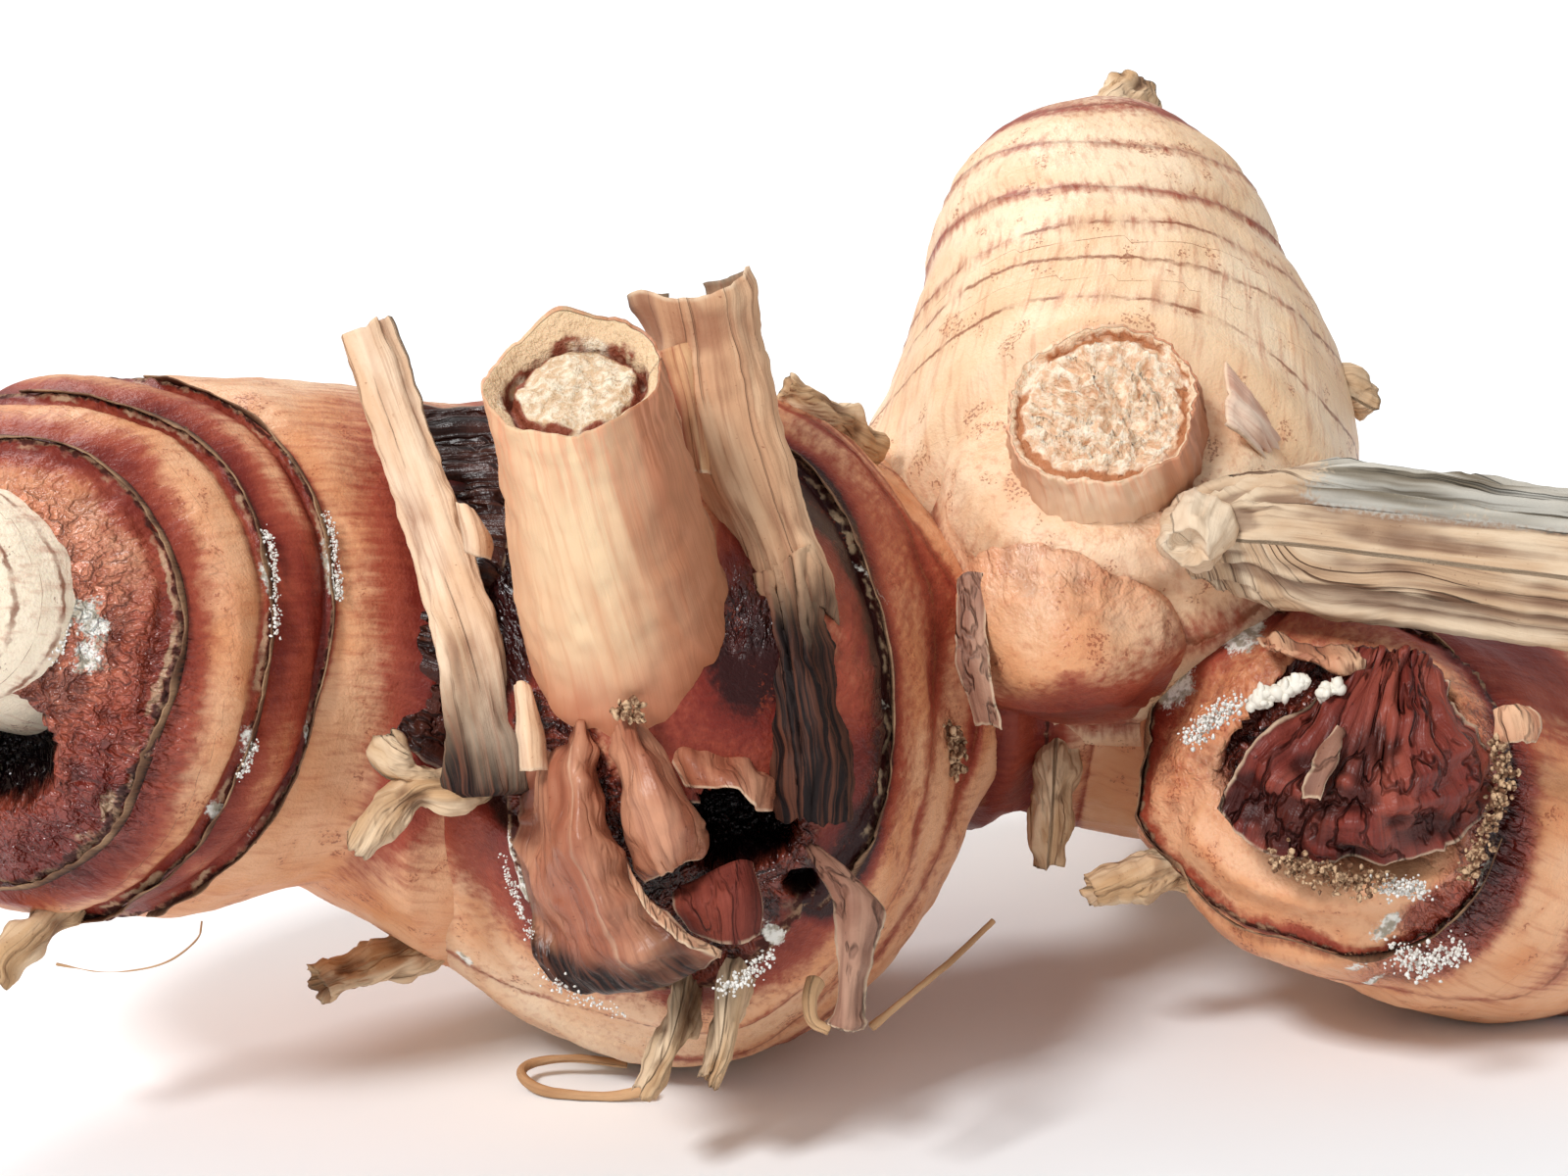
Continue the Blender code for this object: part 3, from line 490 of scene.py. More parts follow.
# Crumbs: what they are, the lobe that they cling to if they lie on one, their line as turns and
# lengths on that lobe or else as points, how widely they are strewn, how many and how large.
CRUMBS = {
    "mould_left_middle": (
        "mould", "left",
        ((146, 41.2), (152, 41.6), (160, 42.4), (168, 43.2)),
        0.16, 180, 0.1,
    ),
    "mould_left_low": ("mould", "left", ((188, 45), (192, 45.4), (196, 45.8)), 0.16, 100, 0.1),
    "mould_left_inner": (
        "mould", "left",
        ((142, 32.6), (148, 32.4), (156, 32.6), (160, 32.8)),
        0.16, 160, 0.1,
    ),
    "mould_bud": ("mould", "left", ((152, 55.4), (160, 55.6), (168, 55.9)), 0.34, 240, 0.12),
    "mould_face_low": (
        "mould", None,
        ((38.6, -15.2, 16.4), (40, -15.2, 16.2), (41.4, -15, 16)),
        0.36, 240, 0.12,
    ),
    "crumb_face_low": (
        "crumb", None,
        ((32, -14.6, 18.2), (35, -15.6, 17.2), (39, -15.4, 16.8)),
        0.5, 220, 0.2,
    ),
    "crumb_face_foot": (
        "mould", None,
        ((39.6, -14.2, 11.4), (42, -13.9, 10.6), (44.4, -13.4, 11.6)),
        0.5, 280, 0.13,
    ),
    "crust_face_left": (
        "mould", None,
        ((26.4, -9.8, 24.6), (28, -9.8, 26), (29.6, -9.8, 27)),
        0.35, 280, 0.13,
    ),
    "wax_face_a": (
        "wax", None,
        ((30.6, -10.4, 27.3), (32.4, -10.6, 28.2), (34, -10.4, 28.8)),
        0.16, 100, 0.42,
    ),
    "wax_face_b": ("wax", None, ((35, -10.6, 28), (36.2, -10.6, 28.5)), 0.12, 40, 0.36),
    "crumb_right_rim": (
        "crumb", None,
        ((46.4, -11.2, 25), (46.8, -11.8, 22.4), (45.8, -12.6, 19.6), (44.4, -13.2, 16.2)),
        0.35, 220, 0.24,
    ),
    "crumb_husk_left": (
        "mould", None,
        ((-17.4, -24.4, 21.4), (-16.6, -25, 19), (-15.6, -25.8, 16.6)),
        0.16, 140, 0.08,
    ),
    "crumb_husk_foot": (
        "mould", None,
        ((-4, -29.4, 14.6), (-2.4, -29, 15.2), (-0.8, -28, 16.2)),
        0.3, 160, 0.11,
    ),
    "crumb_husk_rim": (
        "mould", None,
        ((-15, -26.4, 14.6), (-13, -27.6, 13.6), (-10, -28.8, 12.8)),
        0.3, 100, 0.08,
    ),
    "flake_hub_right": ("crumb", "hub", ((176, 32.6), (180, 31.6), (184, 31)), 0.35, 120, 0.3),
    "tuft_husk": (
        "crumb", None,
        ((-10.2, -26.8, 31.2), (-9.4, -27.4, 31.6), (-8.6, -26.8, 31)),
        0.3, 40, 0.25,
    ),
}

# Papers of the husk: three colours from light to dark, how much the fibres show, roughness, depth
# of the ribs in metres, and how much the shrunken creases show, painted darker in them as shade.
HUSK_PAPERS = {
    # Rosy brown and half glossy, with fine fibres.
    "husk": ("#C48C6E", "#985A42", "#55241A", 0.3, 0.34, 0.00012, 0.12),
    # Wine red and half glossy, shrunk into deep creases.
    "withered_husk": ("#94493A", "#702C24", "#30100D", 0.35, 0.38, 0.0003, 0.45),
    # Dark red-brown, dull and nearly plain.
    "plate": ("#8A4030", "#6A2A20", "#3A1210", 0.1, 0.7, 0.00025, 0.2),
    # Greyish brown, dull and creased.
    "flap": ("#B08872", "#8A604E", "#58342A", 0.3, 0.6, 0.0002, 0.4),
    # Pale beige, dull and softly creased.
    "lip": ("#DDB592", "#C48C6C", "#94553E", 0.25, 0.6, 0.0002, 0.3),
}

# Papery scales: the part's node that each stands for if any, its paper, how torn, ribbed and
# crumpled it is, and rows of points from its root to its torn edge.
SCALES = {
    "husk_scale_left": (
        "husk_scale_left", "husk",
        {"tear": 0.6, "ribs": 0.07, "crumple": 1.2, "side_tear": 0.5},
        (
            ((-14.6, -21, 28.7), (-13.6, -23.3, 29.9), (-12.6, -24.5, 29.9), (-11.9, -23.1, 28.6)),
            ((-16.9, -21.4, 25.1), (-14.7, -24.6, 26.4), (-12.5, -27.5, 27.1), (-11, -24.9, 25.5)),
            ((-17.2, -22.3, 21.5), (-14.7, -25.9, 22.6), (-12, -29.4, 23.5), (-9.9, -26.3, 22.1)),
            ((-16.1, -23.8, 17.6), (-13.5, -27, 18.4), (-10.5, -30.7, 20.1), (-7.9, -28.4, 19.7)),
            ((-14.9, -25, 14.9), (-12.2, -27.4, 15.3), (-8.9, -30.5, 16.9), (-5.6, -29.8, 18.2)),
            ((-13.1, -24.9, 13.2), (-10.2, -26.9, 13.8), (-6.9, -28.9, 14.9), (-3.5, -28.4, 16.1)),
        ),
    ),
    "husk_scale_middle": (
        "husk_scale_middle", "husk",
        {"tear": 1.2, "ribs": 0.1, "crumple": 1},
        (
            ((-10.8, -23, 29.2), (-9.9, -25.2, 30.4), (-9.1, -25.8, 30.7), (-8.3, -23.8, 29.8)),
            ((-10.4, -24.6, 26.7), (-9.2, -28.1, 28.1), (-7.8, -28.5, 28), (-6.6, -24.7, 26.4)),
            ((-9.9, -25.8, 24.1), (-8.6, -29.5, 25.6), (-6.8, -29.5, 25.6), (-5.5, -25.8, 24)),
            ((-9.1, -26.8, 21.8), (-7.8, -30.1, 23.2), (-6.3, -29.4, 23.5), (-4.9, -26, 23)),
            ((-8.3, -27.7, 20.3), (-7.1, -29.5, 21.5), (-6, -28.6, 22), (-5, -26.2, 22.3)),
        ),
    ),
    "husk_ribbed": (
        None, "withered_husk",
        {"tear": 0.8, "ribs": 0.45, "side_tear": 0.3},
        (
            ((-8.2, -23.6, 29.6), (-7.4, -24.6, 29.7), (-6.8, -23.6, 28.8)),
            ((-7.2, -24.1, 26.8), (-6.5, -25.4, 27.1), (-5.8, -24.2, 26.2)),
            ((-6.3, -23.8, 23.8), (-5.7, -24.7, 24.4), (-5.1, -23.7, 24.2)),
        ),
    ),
    "husk_curl": (
        "husk_curl", "husk",
        {"tear": 0.8, "ribs": 0.25, "crumple": 0.7, "side_tear": 0.4},
        (
            (
                (-7.6, -22.9, 29.5), (-5.7, -24.1, 28.7), (-3.9, -24.8, 27.9), (-2.3, -24.6, 27.1),
                (-0.8, -23.2, 26.2),
            ),
            (
                (-7.1, -25, 28), (-5.2, -26.7, 27.9), (-3.6, -27.4, 27.6), (-2, -26.9, 26.8),
                (-0.7, -25, 25.6),
            ),
            (
                (-6.1, -26.4, 25.9), (-4.6, -27.8, 26.6), (-3, -28.6, 26.8), (-1.9, -28.7, 25.5),
                (-0.8, -26.6, 24.7),
            ),
        ),
    ),
    "husk_plate": (
        "husk_plate", "plate",
        {"tear": 0.4, "ribs": 0.08, "crumple": 0.25, "side_tear": 0.5},
        (
            ((-7.1, -26.3, 19.6), (-5, -27.4, 21), (-3, -27.5, 22.1), (-1.9, -26, 21.4)),
            ((-7, -27.4, 19.1), (-4.6, -29.3, 19.7), (-2.5, -29.6, 20.4), (-1.3, -26.9, 19.4)),
            ((-5.8, -27.4, 17.6), (-4.2, -28.9, 17.2), (-2.5, -29, 17.1), (-1.4, -26.9, 17.1)),
        ),
    ),
    "husk_lip": (
        None, "lip",
        {"tear": 0.7, "ribs": 0.15, "side_tear": 0.3},
        (
            ((-9.6, -28.5, 22.5), (-8.3, -30, 20.8), (-6.3, -30.9, 19), (-3.6, -29.9, 17.1)),
            ((-9.2, -30, 20.8), (-8.1, -31.3, 19.8), (-6.1, -31.7, 18.3), (-3.7, -30.2, 16.7)),
        ),
    ),
    "husk_flap": (
        "husk_flap_front", "flap",
        {"tear": 0.8, "ribs": 0.2, "crumple": 0.5, "side_tear": 0.7},
        (
            ((1.3, -23.5, 21.7), (1.7, -23.9, 21.8), (2.2, -23.6, 21.4)),
            ((2.1, -25.2, 20.6), (3.1, -26.5, 21.2), (4.5, -25.9, 20.2)),
            ((2.6, -26.7, 19.5), (4.4, -28.4, 20.2), (6.5, -27.4, 18.4)),
            ((3, -27.4, 17.7), (4.4, -29, 18), (6.2, -27.6, 17.5)),
            ((3, -28.3, 15.7), (4.1, -29.3, 15.8), (5.5, -28.1, 15.6)),
            ((2.8, -29.1, 13.2), (3.9, -30.1, 13.2), (5.3, -28.9, 13)),
            ((2.2, -29.6, 12.1), (3.7, -30.5, 11.8), (5.2, -29.5, 11.6)),
        ),
    ),
    "bud_strip": (
        "scale_strip_bud", "flap",
        {"ribs": 0.2},
        (
            ((11.4, -2.6, 33.6), (12.4, -3.4, 34.2), (13.6, -4.2, 34.4)),
            ((10.9, -7, 29.8), (12.4, -8.2, 30), (13.8, -8.9, 29.8)),
            ((12.4, -8.4, 24.6), (13.4, -9.2, 24.8), (14.6, -9.6, 24.6)),
        ),
    ),
    "face_scale": (
        "face_scale_right", "withered_husk",
        {"tear": 0.8, "ribs": 0.4, "crumple": 1.8, "side_tear": 0.5},
        (
            (
                (37.7, -7.4, 29.5), (38.4, -7.9, 30), (39.3, -8.3, 30.2), (40, -8.5, 30.3),
                (40.8, -8.3, 30.1), (41.7, -7.8, 29.6), (42.5, -7.2, 28.7),
            ),
            (
                (33.5, -9.6, 26.7), (34.2, -11.7, 25.6), (35.8, -13.5, 25), (37.8, -14.8, 24.8),
                (40.3, -14.3, 25.1), (42.5, -12.5, 25.6), (43.8, -9.6, 26.7),
            ),
            (
                (29.5, -11.5, 23.7), (31, -13.2, 22.2), (33.8, -15, 21.3), (37.4, -16.3, 21.2),
                (40.8, -15.4, 21.5), (43.8, -13.1, 22.5), (45.4, -9.6, 23.9),
            ),
            (
                (27.8, -12.1, 20.7), (30, -13.3, 18.5), (33.2, -14.4, 17.3), (37.8, -14.9, 17.6),
                (41.6, -14.2, 17.9), (44.5, -12.1, 18.9), (46.4, -9.1, 21),
            ),
        ),
    ),
    "face_flake": (
        None, "flap",
        {"tear": 1.6, "ribs": 0.3, "crumple": 0.9, "side_tear": 1.1},
        (
            ((35.4, -13, 26.6), (36, -13.6, 26.6), (36.6, -13.8, 26.3)),
            ((34, -13.6, 25), (35.2, -14.9, 25.4), (36.3, -14.8, 24.8)),
            ((33, -14.8, 23.4), (34.4, -15.7, 23.6), (35, -15.6, 23.4)),
            ((33.2, -15.5, 21.8), (33.8, -16.2, 21.7), (34.2, -16.2, 21.9)),
        ),
    ),
    "face_chip": (
        None, "lip",
        {"tear": 1.2, "ribs": 0.2, "crumple": 0.9, "side_tear": 1.1},
        (
            ((46, -9.8, 26.4), (47.4, -10.2, 27), (49, -9.6, 26.6)),
            ((45.8, -10.8, 25.2), (47.8, -11.6, 25.6), (49.8, -10.2, 25.4)),
            ((46.6, -11.2, 24.2), (47.8, -11.6, 24.2), (48.8, -10.8, 24.4)),
        ),
    ),
    "face_top_flap": (
        None, "lip",
        {"tear": 0.6, "ribs": 0.25, "crumple": 0.7, "side_tear": 0.5},
        (
            ((31.1, -5.1, 30.5), (33, -6, 30.6), (35.6, -6.5, 30.3), (38.2, -6.8, 29.8)),
            ((31.2, -7.1, 30.4), (33.1, -8.6, 30.3), (35.6, -9.3, 29.8), (38.3, -8.9, 29.6)),
            ((31.7, -7.2, 30.1), (34, -8.6, 29.5), (36.2, -9.3, 29), (38, -8.4, 29.2)),
        ),
    ),
}

# Other sheets, as rows of points from the foot or the root to the torn edge.
SHEATH_DARK = (
    ((-2.5, -16.3, 37.1), (-1, -18.8, 38), (0.7, -18.3, 39.3), (2.4, -14.7, 39.4)),
    ((-2.2, -18.6, 33.9), (-0.4, -21.7, 34.8), (1.5, -21, 35.1), (2.8, -17.3, 34.8)),
    ((-1.8, -20.8, 30), (0.2, -24.2, 31.1), (2.2, -23.2, 31.2), (3.4, -19.4, 30.5)),
    ((-1.3, -23.2, 26.3), (0.7, -26.4, 27.2), (2.8, -25.4, 27.1), (3.9, -21.7, 26.4)),
    ((-0.8, -24, 22.8), (0.7, -26.5, 22.8), (2.8, -26.1, 22.7), (3.7, -23.1, 22.4)),
)
SHEATH_STRIP = (
    ((-8.2, -11.9, 50.7), (-6.5, -12.8, 51.4), (-4.7, -9.8, 50.9)),
    ((-7.2, -13.8, 47.3), (-5.6, -14.7, 47.7), (-4.2, -11.8, 47)),
    ((-6.3, -16.1, 43.8), (-5, -16.7, 43.8), (-3.8, -13.8, 43)),
)
STALK_STRIP = (
    ((-16.6, -22.3, 31.7), (-16, -23.1, 32.2), (-15.5, -23, 31.2)),
    ((-16.5, -23.8, 29.4), (-15.6, -25, 29.9), (-14.8, -24.1, 29)),
    ((-16.4, -25.3, 26.9), (-15.3, -26.4, 27.2), (-14.4, -25.5, 27)),
)
STALK_FLAP = (
    ((-20.5, -16.6, 42.1), (-19.8, -17.2, 41.9), (-19.3, -16.4, 41)),
    ((-20.2, -17.6, 40.3), (-19.1, -18.6, 40.5), (-18.3, -17.2, 39.7)),
    ((-19.9, -17.9, 39), (-19, -18.6, 38.8), (-18.5, -17.6, 38.4)),
)
BACK_SHEATH = (
    ((34.6, 5.2, 41.6), (34.2, 3.6, 40.2), (33.6, 2.6, 38.8)),
    ((31.8, 2.4, 45.4), (31.6, 0.2, 43.8), (31.2, -0.8, 42)),
    ((29.4, 1.4, 48.2), (29.2, -1.2, 46.4), (28.8, -2.2, 44.2)),
)

# Torn scale leaves that lie along a ring: the node they stand for if any, lobe, ring, turns from and
# to, reach in millimetres (below zero towards the lobe's start) and how high the torn edge stands.
COLLARS = {
    "collar_hub_torn": ("ring_scale_right", "hub", "torn_ring", (84, 206), 1, 0.35),
    "collar_left_middle": ("ring_scale_left", "left", "middle_ring", (80, 262), 0.9, 0.35),
    "collar_left_inner": (None, "left", "inner_ring", (86, 250), 0.8, 0.35),
    "collar_left_tip": (None, "left", "tip_ring", (60, 262), 0.5, 0.15),
    "collar_right_face": (None, "right", "face_ring", (60, 360), -0.8, 0.4),
}

# The withered scale: lobe, lengths of its root and its torn edge, turns, and how high that stands.
DARK_SCALE = ("left", (25.6, 19.4), (100, 190), 1.3)

LATTICE = np.random.default_rng(3).random((LATTICE_SIZE,) * 3)


def smoothed(points, count):
    """The smooth curve through the points, along their first axis, at evenly counted places.

    Between two points it is the cubic whose slope at each is half the step between its neighbours.
    """
    points = np.asarray(points, float)
    held = np.concatenate([[2 * points[0] - points[1]], points, [2 * points[-1] - points[-2]]])
    place = np.linspace(0, len(points) - 1.000001, count)
    i = place.astype(int)
    f = (place - i).reshape(-1, *[1] * (points.ndim - 1))
    a, b, c, d = (held[i + k] for k in range(4))
    return 0.5 * (2 * b + (c - a) * f + (2 * a - 5 * b + 4 * c - d) * f**2 + (3 * b - a - 3 * c + d) * f**3)


def unit(vectors):
    """Vectors divided by their lengths."""
    return vectors / np.maximum(np.linalg.norm(vectors, axis=-1, keepdims=True), 1e-9)


def spine_of(points, flat=ROUND, up=UPWARDS):
    """The smooth middle line through the points, with its radius, lengths and axes."""
    line = smoothed(points, SPINE_SAMPLES)
    middle = line[:, :3]
    steps = np.linalg.norm(np.diff(middle, axis=0), axis=1)
    along = unit(np.gradient(middle, axis=0))
    side = unit(np.cross(along, up))
    return {
        "length": np.concatenate([[0], np.cumsum(steps)]),
        "middle": middle,
        "radius": line[:, 3],
        "along": along,
        "side": side,
        "over": np.cross(side, along),
        "flat": flat,
    }


def read(spine, key, length):
    """A value of the spine at some lengths from its start."""
    values = spine[key]
    if values.ndim == 1:
        return np.interp(length, spine["length"], values)
    return np.stack([np.interp(length, spine["length"], values[:, k]) for k in range(3)], axis=-1)


def swept(spine, length, radius, turn):
    """Middle line plus radius times the cosine and sine of the turn along the two cross axes."""
    length, radius, turn = np.broadcast_arrays(length, radius, turn)
    beyond = length - np.clip(length, 0, spine["length"][-1])
    across = radius * np.cos(turn) * spine["flat"][0]
    up = radius * np.sin(turn) * spine["flat"][1]
    return (
        read(spine, "middle", length)
        + beyond[..., None] * read(spine, "along", length)
        + across[..., None] * read(spine, "side", length)
        + up[..., None] * read(spine, "over", length)
    )


def noise(points, size, seed=0):
    """Smooth random values from 0 to 1: a lattice of random numbers, size apart, blended smoothly."""
    place = points / size + seed * np.array((7.31, 3.77, 5.13))
    cell = np.floor(place).astype(int)
    share = place - cell
    share = share * share * (3 - 2 * share)
    total = np.zeros(points.shape[:-1])
    for corner in np.ndindex(2, 2, 2):
        weight = np.prod(np.where(corner, share, 1 - share), axis=-1)
        x, y, z = np.moveaxis((cell + corner) % LATTICE_SIZE, -1, 0)
        total += weight * LATTICE[x, y, z]
    return total


def rough(points, size, seed=0, layers=3):
    """Layers of noise, each half as large and half as strong as the one before, from -1 to 1."""
    return sum((noise(points, size / 2**k, seed + k) - 0.5) / 2**k for k in range(layers))


def creased(points, size, seed=0):
    """Sharp creases: 1 on the lines where a noise passes its middle value, down to 0."""
    return 1 - np.clip(np.abs(noise(points, size, seed) - 0.5) * 4, 0, 1)


def line_noise(place, size, seed):
    """Smooth random values along a line, from 0 to 1."""
    zero = np.zeros_like(place)
    return noise(np.stack([place, zero + 0.37 * seed, zero], -1), size, seed)


def torn(place, seed):
    """How deep a torn edge is bitten at places along it, from 0 to 1: broad bites and fine teeth."""
    bites = 0.55 * line_noise(place, 4.0, seed) + 0.35 * line_noise(place, 1.3, seed + 1)
    return np.clip(bites + 0.2 * line_noise(place, 0.5, seed + 2), 0, 1)


def bump(distance, width):
    """A round hump: e to the minus square of the distance over the width."""
    return np.exp(-((distance / width) ** 2))


def turn_between(turn, middle):
    """The turn from a middle one, in degrees between -180 and 180."""
    return (turn - middle + 180) % 360 - 180


def inside_turns(turn, low, high, fade):
    """1 between two turns in degrees, and down to 0 over the fade at each end."""
    return np.clip(((high - low) / 2 - np.abs(turn_between(turn, (low + high) / 2))) / fade + 0.5, 0, 1)


def spots(places, turn, length):
    """The sum of oval humps on the skin, each with its middle, half sizes and strength."""
    total = np.zeros(np.broadcast(turn, length).shape)
    for middle_turn, middle_length, half_turn, half_length, strength in places:
        oval = bump(turn_between(turn, middle_turn), half_turn) * bump(length - middle_length, half_length)
        total += strength * oval
    return total


def ring_lengths(lobe, key, turn):
    """A ring's length along its lobe at some turns in degrees.

    Its marks are joined and smoothed by keeping the eight slowest waves, and many small waves of
    seeded random sizes make the line wander.
    """
    turns, lengths = np.array(RINGS[lobe][key]["marks"], float).T
    steps = np.arange(TURN_STEPS) * 360 / TURN_STEPS
    waves = np.fft.rfft(np.interp(steps, turns, lengths, period=360))
    waves[9:] = 0
    random = np.random.default_rng(RING_SEED + list(RINGS[lobe]).index(key))
    shake = random.normal(size=80) + 1j * random.normal(size=80)
    waves[10:90] = TURN_STEPS * RING_SHAKE * shake / np.arange(10, 90) ** 0.8
    return np.interp(turn, steps, np.fft.irfft(waves, TURN_STEPS), period=360)


def ring_rows(data, whole):
    """Lengths of a lobe's rows: even along its body and even in angle over its two domed caps.

    A cap is a quarter of an ellipse, about 1.57 * hypot(cap, radius) / 1.41 long.
    """
    low, high = data["caps"]
    radii = data["spine"][0][3], data["spine"][-1][3]
    arcs = [math.ceil(1.57 * math.hypot(*pair) / 1.41 / data["fine"]) for pair in zip((low, high), radii)]
    start, end = (1 - np.cos(np.linspace(0, math.pi / 2, count + 1)[1:]) for count in arcs)
    middle = np.linspace(low, whole - high, math.ceil((whole - low - high) / data["fine"]))[1:-1]
    return np.concatenate([low * start, middle, (whole - high * end)[::-1]])


def cap_share(length, whole, caps):
    """From 0 at the two ends to 1 past the caps, as on a quarter of an ellipse."""
    share = np.ones_like(length)
    for cap, to_end in zip(caps, (length, whole - length)):
        near = np.clip(1 - to_end / cap, 0, 1)
        share = np.minimum(share, np.sqrt(1 - near**2))
    return share


def swells(place, length, turn):
    """Slow swells of the flesh: a sine of twice the turn, one of three times the turn, and noise."""
    waves = np.sin(2 * turn + 0.13 * length) + 0.7 * np.sin(3 * turn - 0.17 * length)
    return WAVE_HEIGHT * waves + SWELL_HEIGHT * rough(place, SWELL_SIZE, 1)


def run_together(name, points):
    """How far to push the skin out where a lobe meets its neighbours.

    A neighbour's distance is the least distance to its middle line less its radius there. Within
    the softness k of it the push is k / 4 times the square of 1 - distance / k.
    """
    push = np.zeros(points.shape[:-1])
    flat = points.reshape(-1, 3).astype(np.float32)
    for other, data in LOBES.items():
        if other == name:
            continue
        soft = min(LOBES[name]["soft"], data["soft"])
        gap = np.full(len(flat), np.inf, np.float32)
        for x, y, z, radius in smoothed(data["spine"], 60).astype(np.float32):
            away = np.sqrt(((flat - (x, y, z)) ** 2).sum(axis=1)) - radius
            np.minimum(gap, away, out=gap)
        near = np.clip(1 - np.abs(gap) / soft, 0, 1).reshape(push.shape)
        push = np.maximum(push, near**2 * soft / 4)
    return push


def press_hollows(name, points):
    """Presses points that lie in a hollow to its back wall, and tells how deep each was pressed."""
    depth = np.zeros(points.shape[:-1])
    for middle, half in HOLLOWS.get(name, ()):
        q = (points - middle) / half
        inside = np.clip(1 - q[..., 0] ** 2 - q[..., 2] ** 2, 0, 1)
        wall = middle[1] + half[1] * np.sqrt(inside)
        here = (inside > 0) & (np.abs(q[..., 1]) < 1.6) & (wall > points[..., 1])
        depth = np.where(here, wall - points[..., 1], depth)
        points[..., 1] = np.where(here, wall, points[..., 1])
    return depth


def stamp(name, points, front, fields, push):
    """Presses the stamps of a broken face into it, seen from the front.

    A disc's weight falls from 1 to 0 over its softness inside an ellipse; a ring's is a hump on
    the ellipse between two angles. The weight times the push moves the skin out, and the weight
    times each field's value adds to the field.
    """
    for kind, x, z, half_x, half_z, soft, out, adds, *angles in STAMPS.get(name, ()):
        dx, dz = (points[..., 0] - x) / half_x, (points[..., 2] - z) / half_z
        rho = np.hypot(dx, dz)
        if kind == "disc":
            weight = np.clip((1 - rho) / soft, 0, 1)
            weight = weight * weight * (3 - 2 * weight)
        else:
            weight = bump(rho - 1, soft)
        if angles:
            weight = weight * inside_turns(np.degrees(np.arctan2(dz, dx)), *angles, 14)
        weight = weight * front
        push += weight * out
        for key, value in adds.items():
            fields[key] += weight * value


def lobe_skin(name, looks):
    """The skin of one lobe and what shows on it.

    A point is swept round the middle line at length L and turn t with the radius
    r(L) * cap(L) + swells + sum over rings of (ridge - trough) + wrinkles + junction push,
    where a ridge is a narrow hump on the ring's line and a trough a wide one beside it.
    """
    data = LOBES[name]
    spine = spine_of(data["spine"], data["flat"])
    whole = spine["length"][-1]
    columns = int(2 * math.pi * spine["radius"].max() * max(data["flat"]) / data["fine"])
    degrees = np.arange(columns) * 360 / columns
    length, degrees = np.broadcast_arrays(ring_rows(data, whole)[:, None], degrees[None])
    turn = np.radians(degrees)
    share = cap_share(length, whole, data["caps"])
    plain = read(spine, "radius", length) * share
    place = swept(spine, length, plain, turn)
    skin = np.stack([plain * np.cos(turn), plain * np.sin(turn), length], axis=-1)

    # The gaps to the nearest corky scar and to the nearest fine fold colour their lines.
    gaps = {"ring": np.full(length.shape, FAR), "fold": np.full(length.shape, FAR)}
    fields = {
        "stain": spots(STAINS.get(name, ()), degrees, length),
        "wrinkle": np.clip(spots(WRINKLES.get(name, ()), degrees, length), 0, 1),
        "cream": CREAM[name] + spots(PALE.get(name, ()), degrees, length),
        "raw": np.zeros(length.shape),
        "faint": np.full(length.shape, 0.75 if name == "back" else 0.0),
    }
    relief = swells(place, length, turn) + 0.16 * rough(place, 1.6, 5)
    uneven = 0.35 + 1.1 * noise(place, 1.4, 9)
    for key, ring in RINGS[name].items():
        shown = inside_turns(degrees, *ring["span"], 10) if "span" in ring else np.ones_like(degrees)
        gap = length - ring_lengths(name, key, degrees)
        crust = ring.get("crust", 0.2) * looks.ring_height / RING_HEIGHT
        if ring.get("thin"):
            line, ridge = "fold", 0.3 * crust * uneven * bump(gap, 0.3) - 0.1 * bump(gap, 1.4)
        else:
            ridge = crust * (0.7 * uneven * bump(gap, 0.28) - 0.5 * bump(gap - 0.8, 0.45))
            line, ridge = "ring", ridge - 0.5 * bump(gap, 2.4)
        relief += shown * ridge
        signed = np.where(shown > 0.5, gap, FAR)
        gaps[line] = np.where(np.abs(signed) < np.abs(gaps[line]), signed, gaps[line])
        wide = np.where(gap * ring.get("side", 0) < 0, 0.35, 1.0) * ring["stain"]
        fields["stain"] += shown * ring["blush"] * bump(gap, wide) * (0.5 + 0.8 * noise(place, 3.0, 4))
    # The hub is broken open past its last ring, and stamps shape only what faces the front.
    if name == "hub":
        fields["raw"] = np.clip((length - ring_lengths(name, "face_rim", degrees)) / 0.8 + 0.2, 0, 1)
    out = np.zeros(length.shape)
    front = place[..., 1] < read(spine, "middle", length)[..., 1] + 2.0
    stamp(name, place, front, fields, out)
    raw = fields["raw"] = np.clip(fields["raw"], 0, 1)
    wrinkle = fields["wrinkle"] = np.maximum(np.clip(fields["wrinkle"], 0, 1), 0.7 * raw)
    # The wrinkles run along the lobe.
    drawn = skin * (1, 1, 0.22)
    net = creased(drawn, 1.9, 2) - 0.5 + 0.6 * (creased(drawn, 0.85, 6) - 0.5)
    fields["rise"] = looks.wrinkle_depth / MM * wrinkle * net + raw * (0.9 * rough(place, 2.6, 7) - 0.1)
    push = (relief + fields["rise"] + run_together(name, place)) * np.minimum(share * 2, 1)
    points = swept(spine, length, plain + push, turn)
    points[..., 1] -= out
    # How deep a point was pressed into a hollow sets the painted shade there.
    fields["hollow_shade"] = np.clip(press_hollows(name, points) / 2.0, 0, 1)
    mould = spots(MOULD.get(name, ()), degrees, length) * (0.4 + 1.2 * noise(place, 0.8, 3))
    mould = fields["mould"] = np.clip(mould, 0, 1)
    lift = np.where(mould > 0.35, 0.35 * (mould - 0.35) * noise(place, 0.5, 8), 0)
    points = points + unit(points - read(spine, "middle", length)) * lift[..., None]
    fields.update(ring_gap=gaps["ring"], fold_gap=gaps["fold"])
    return points, fields, skin


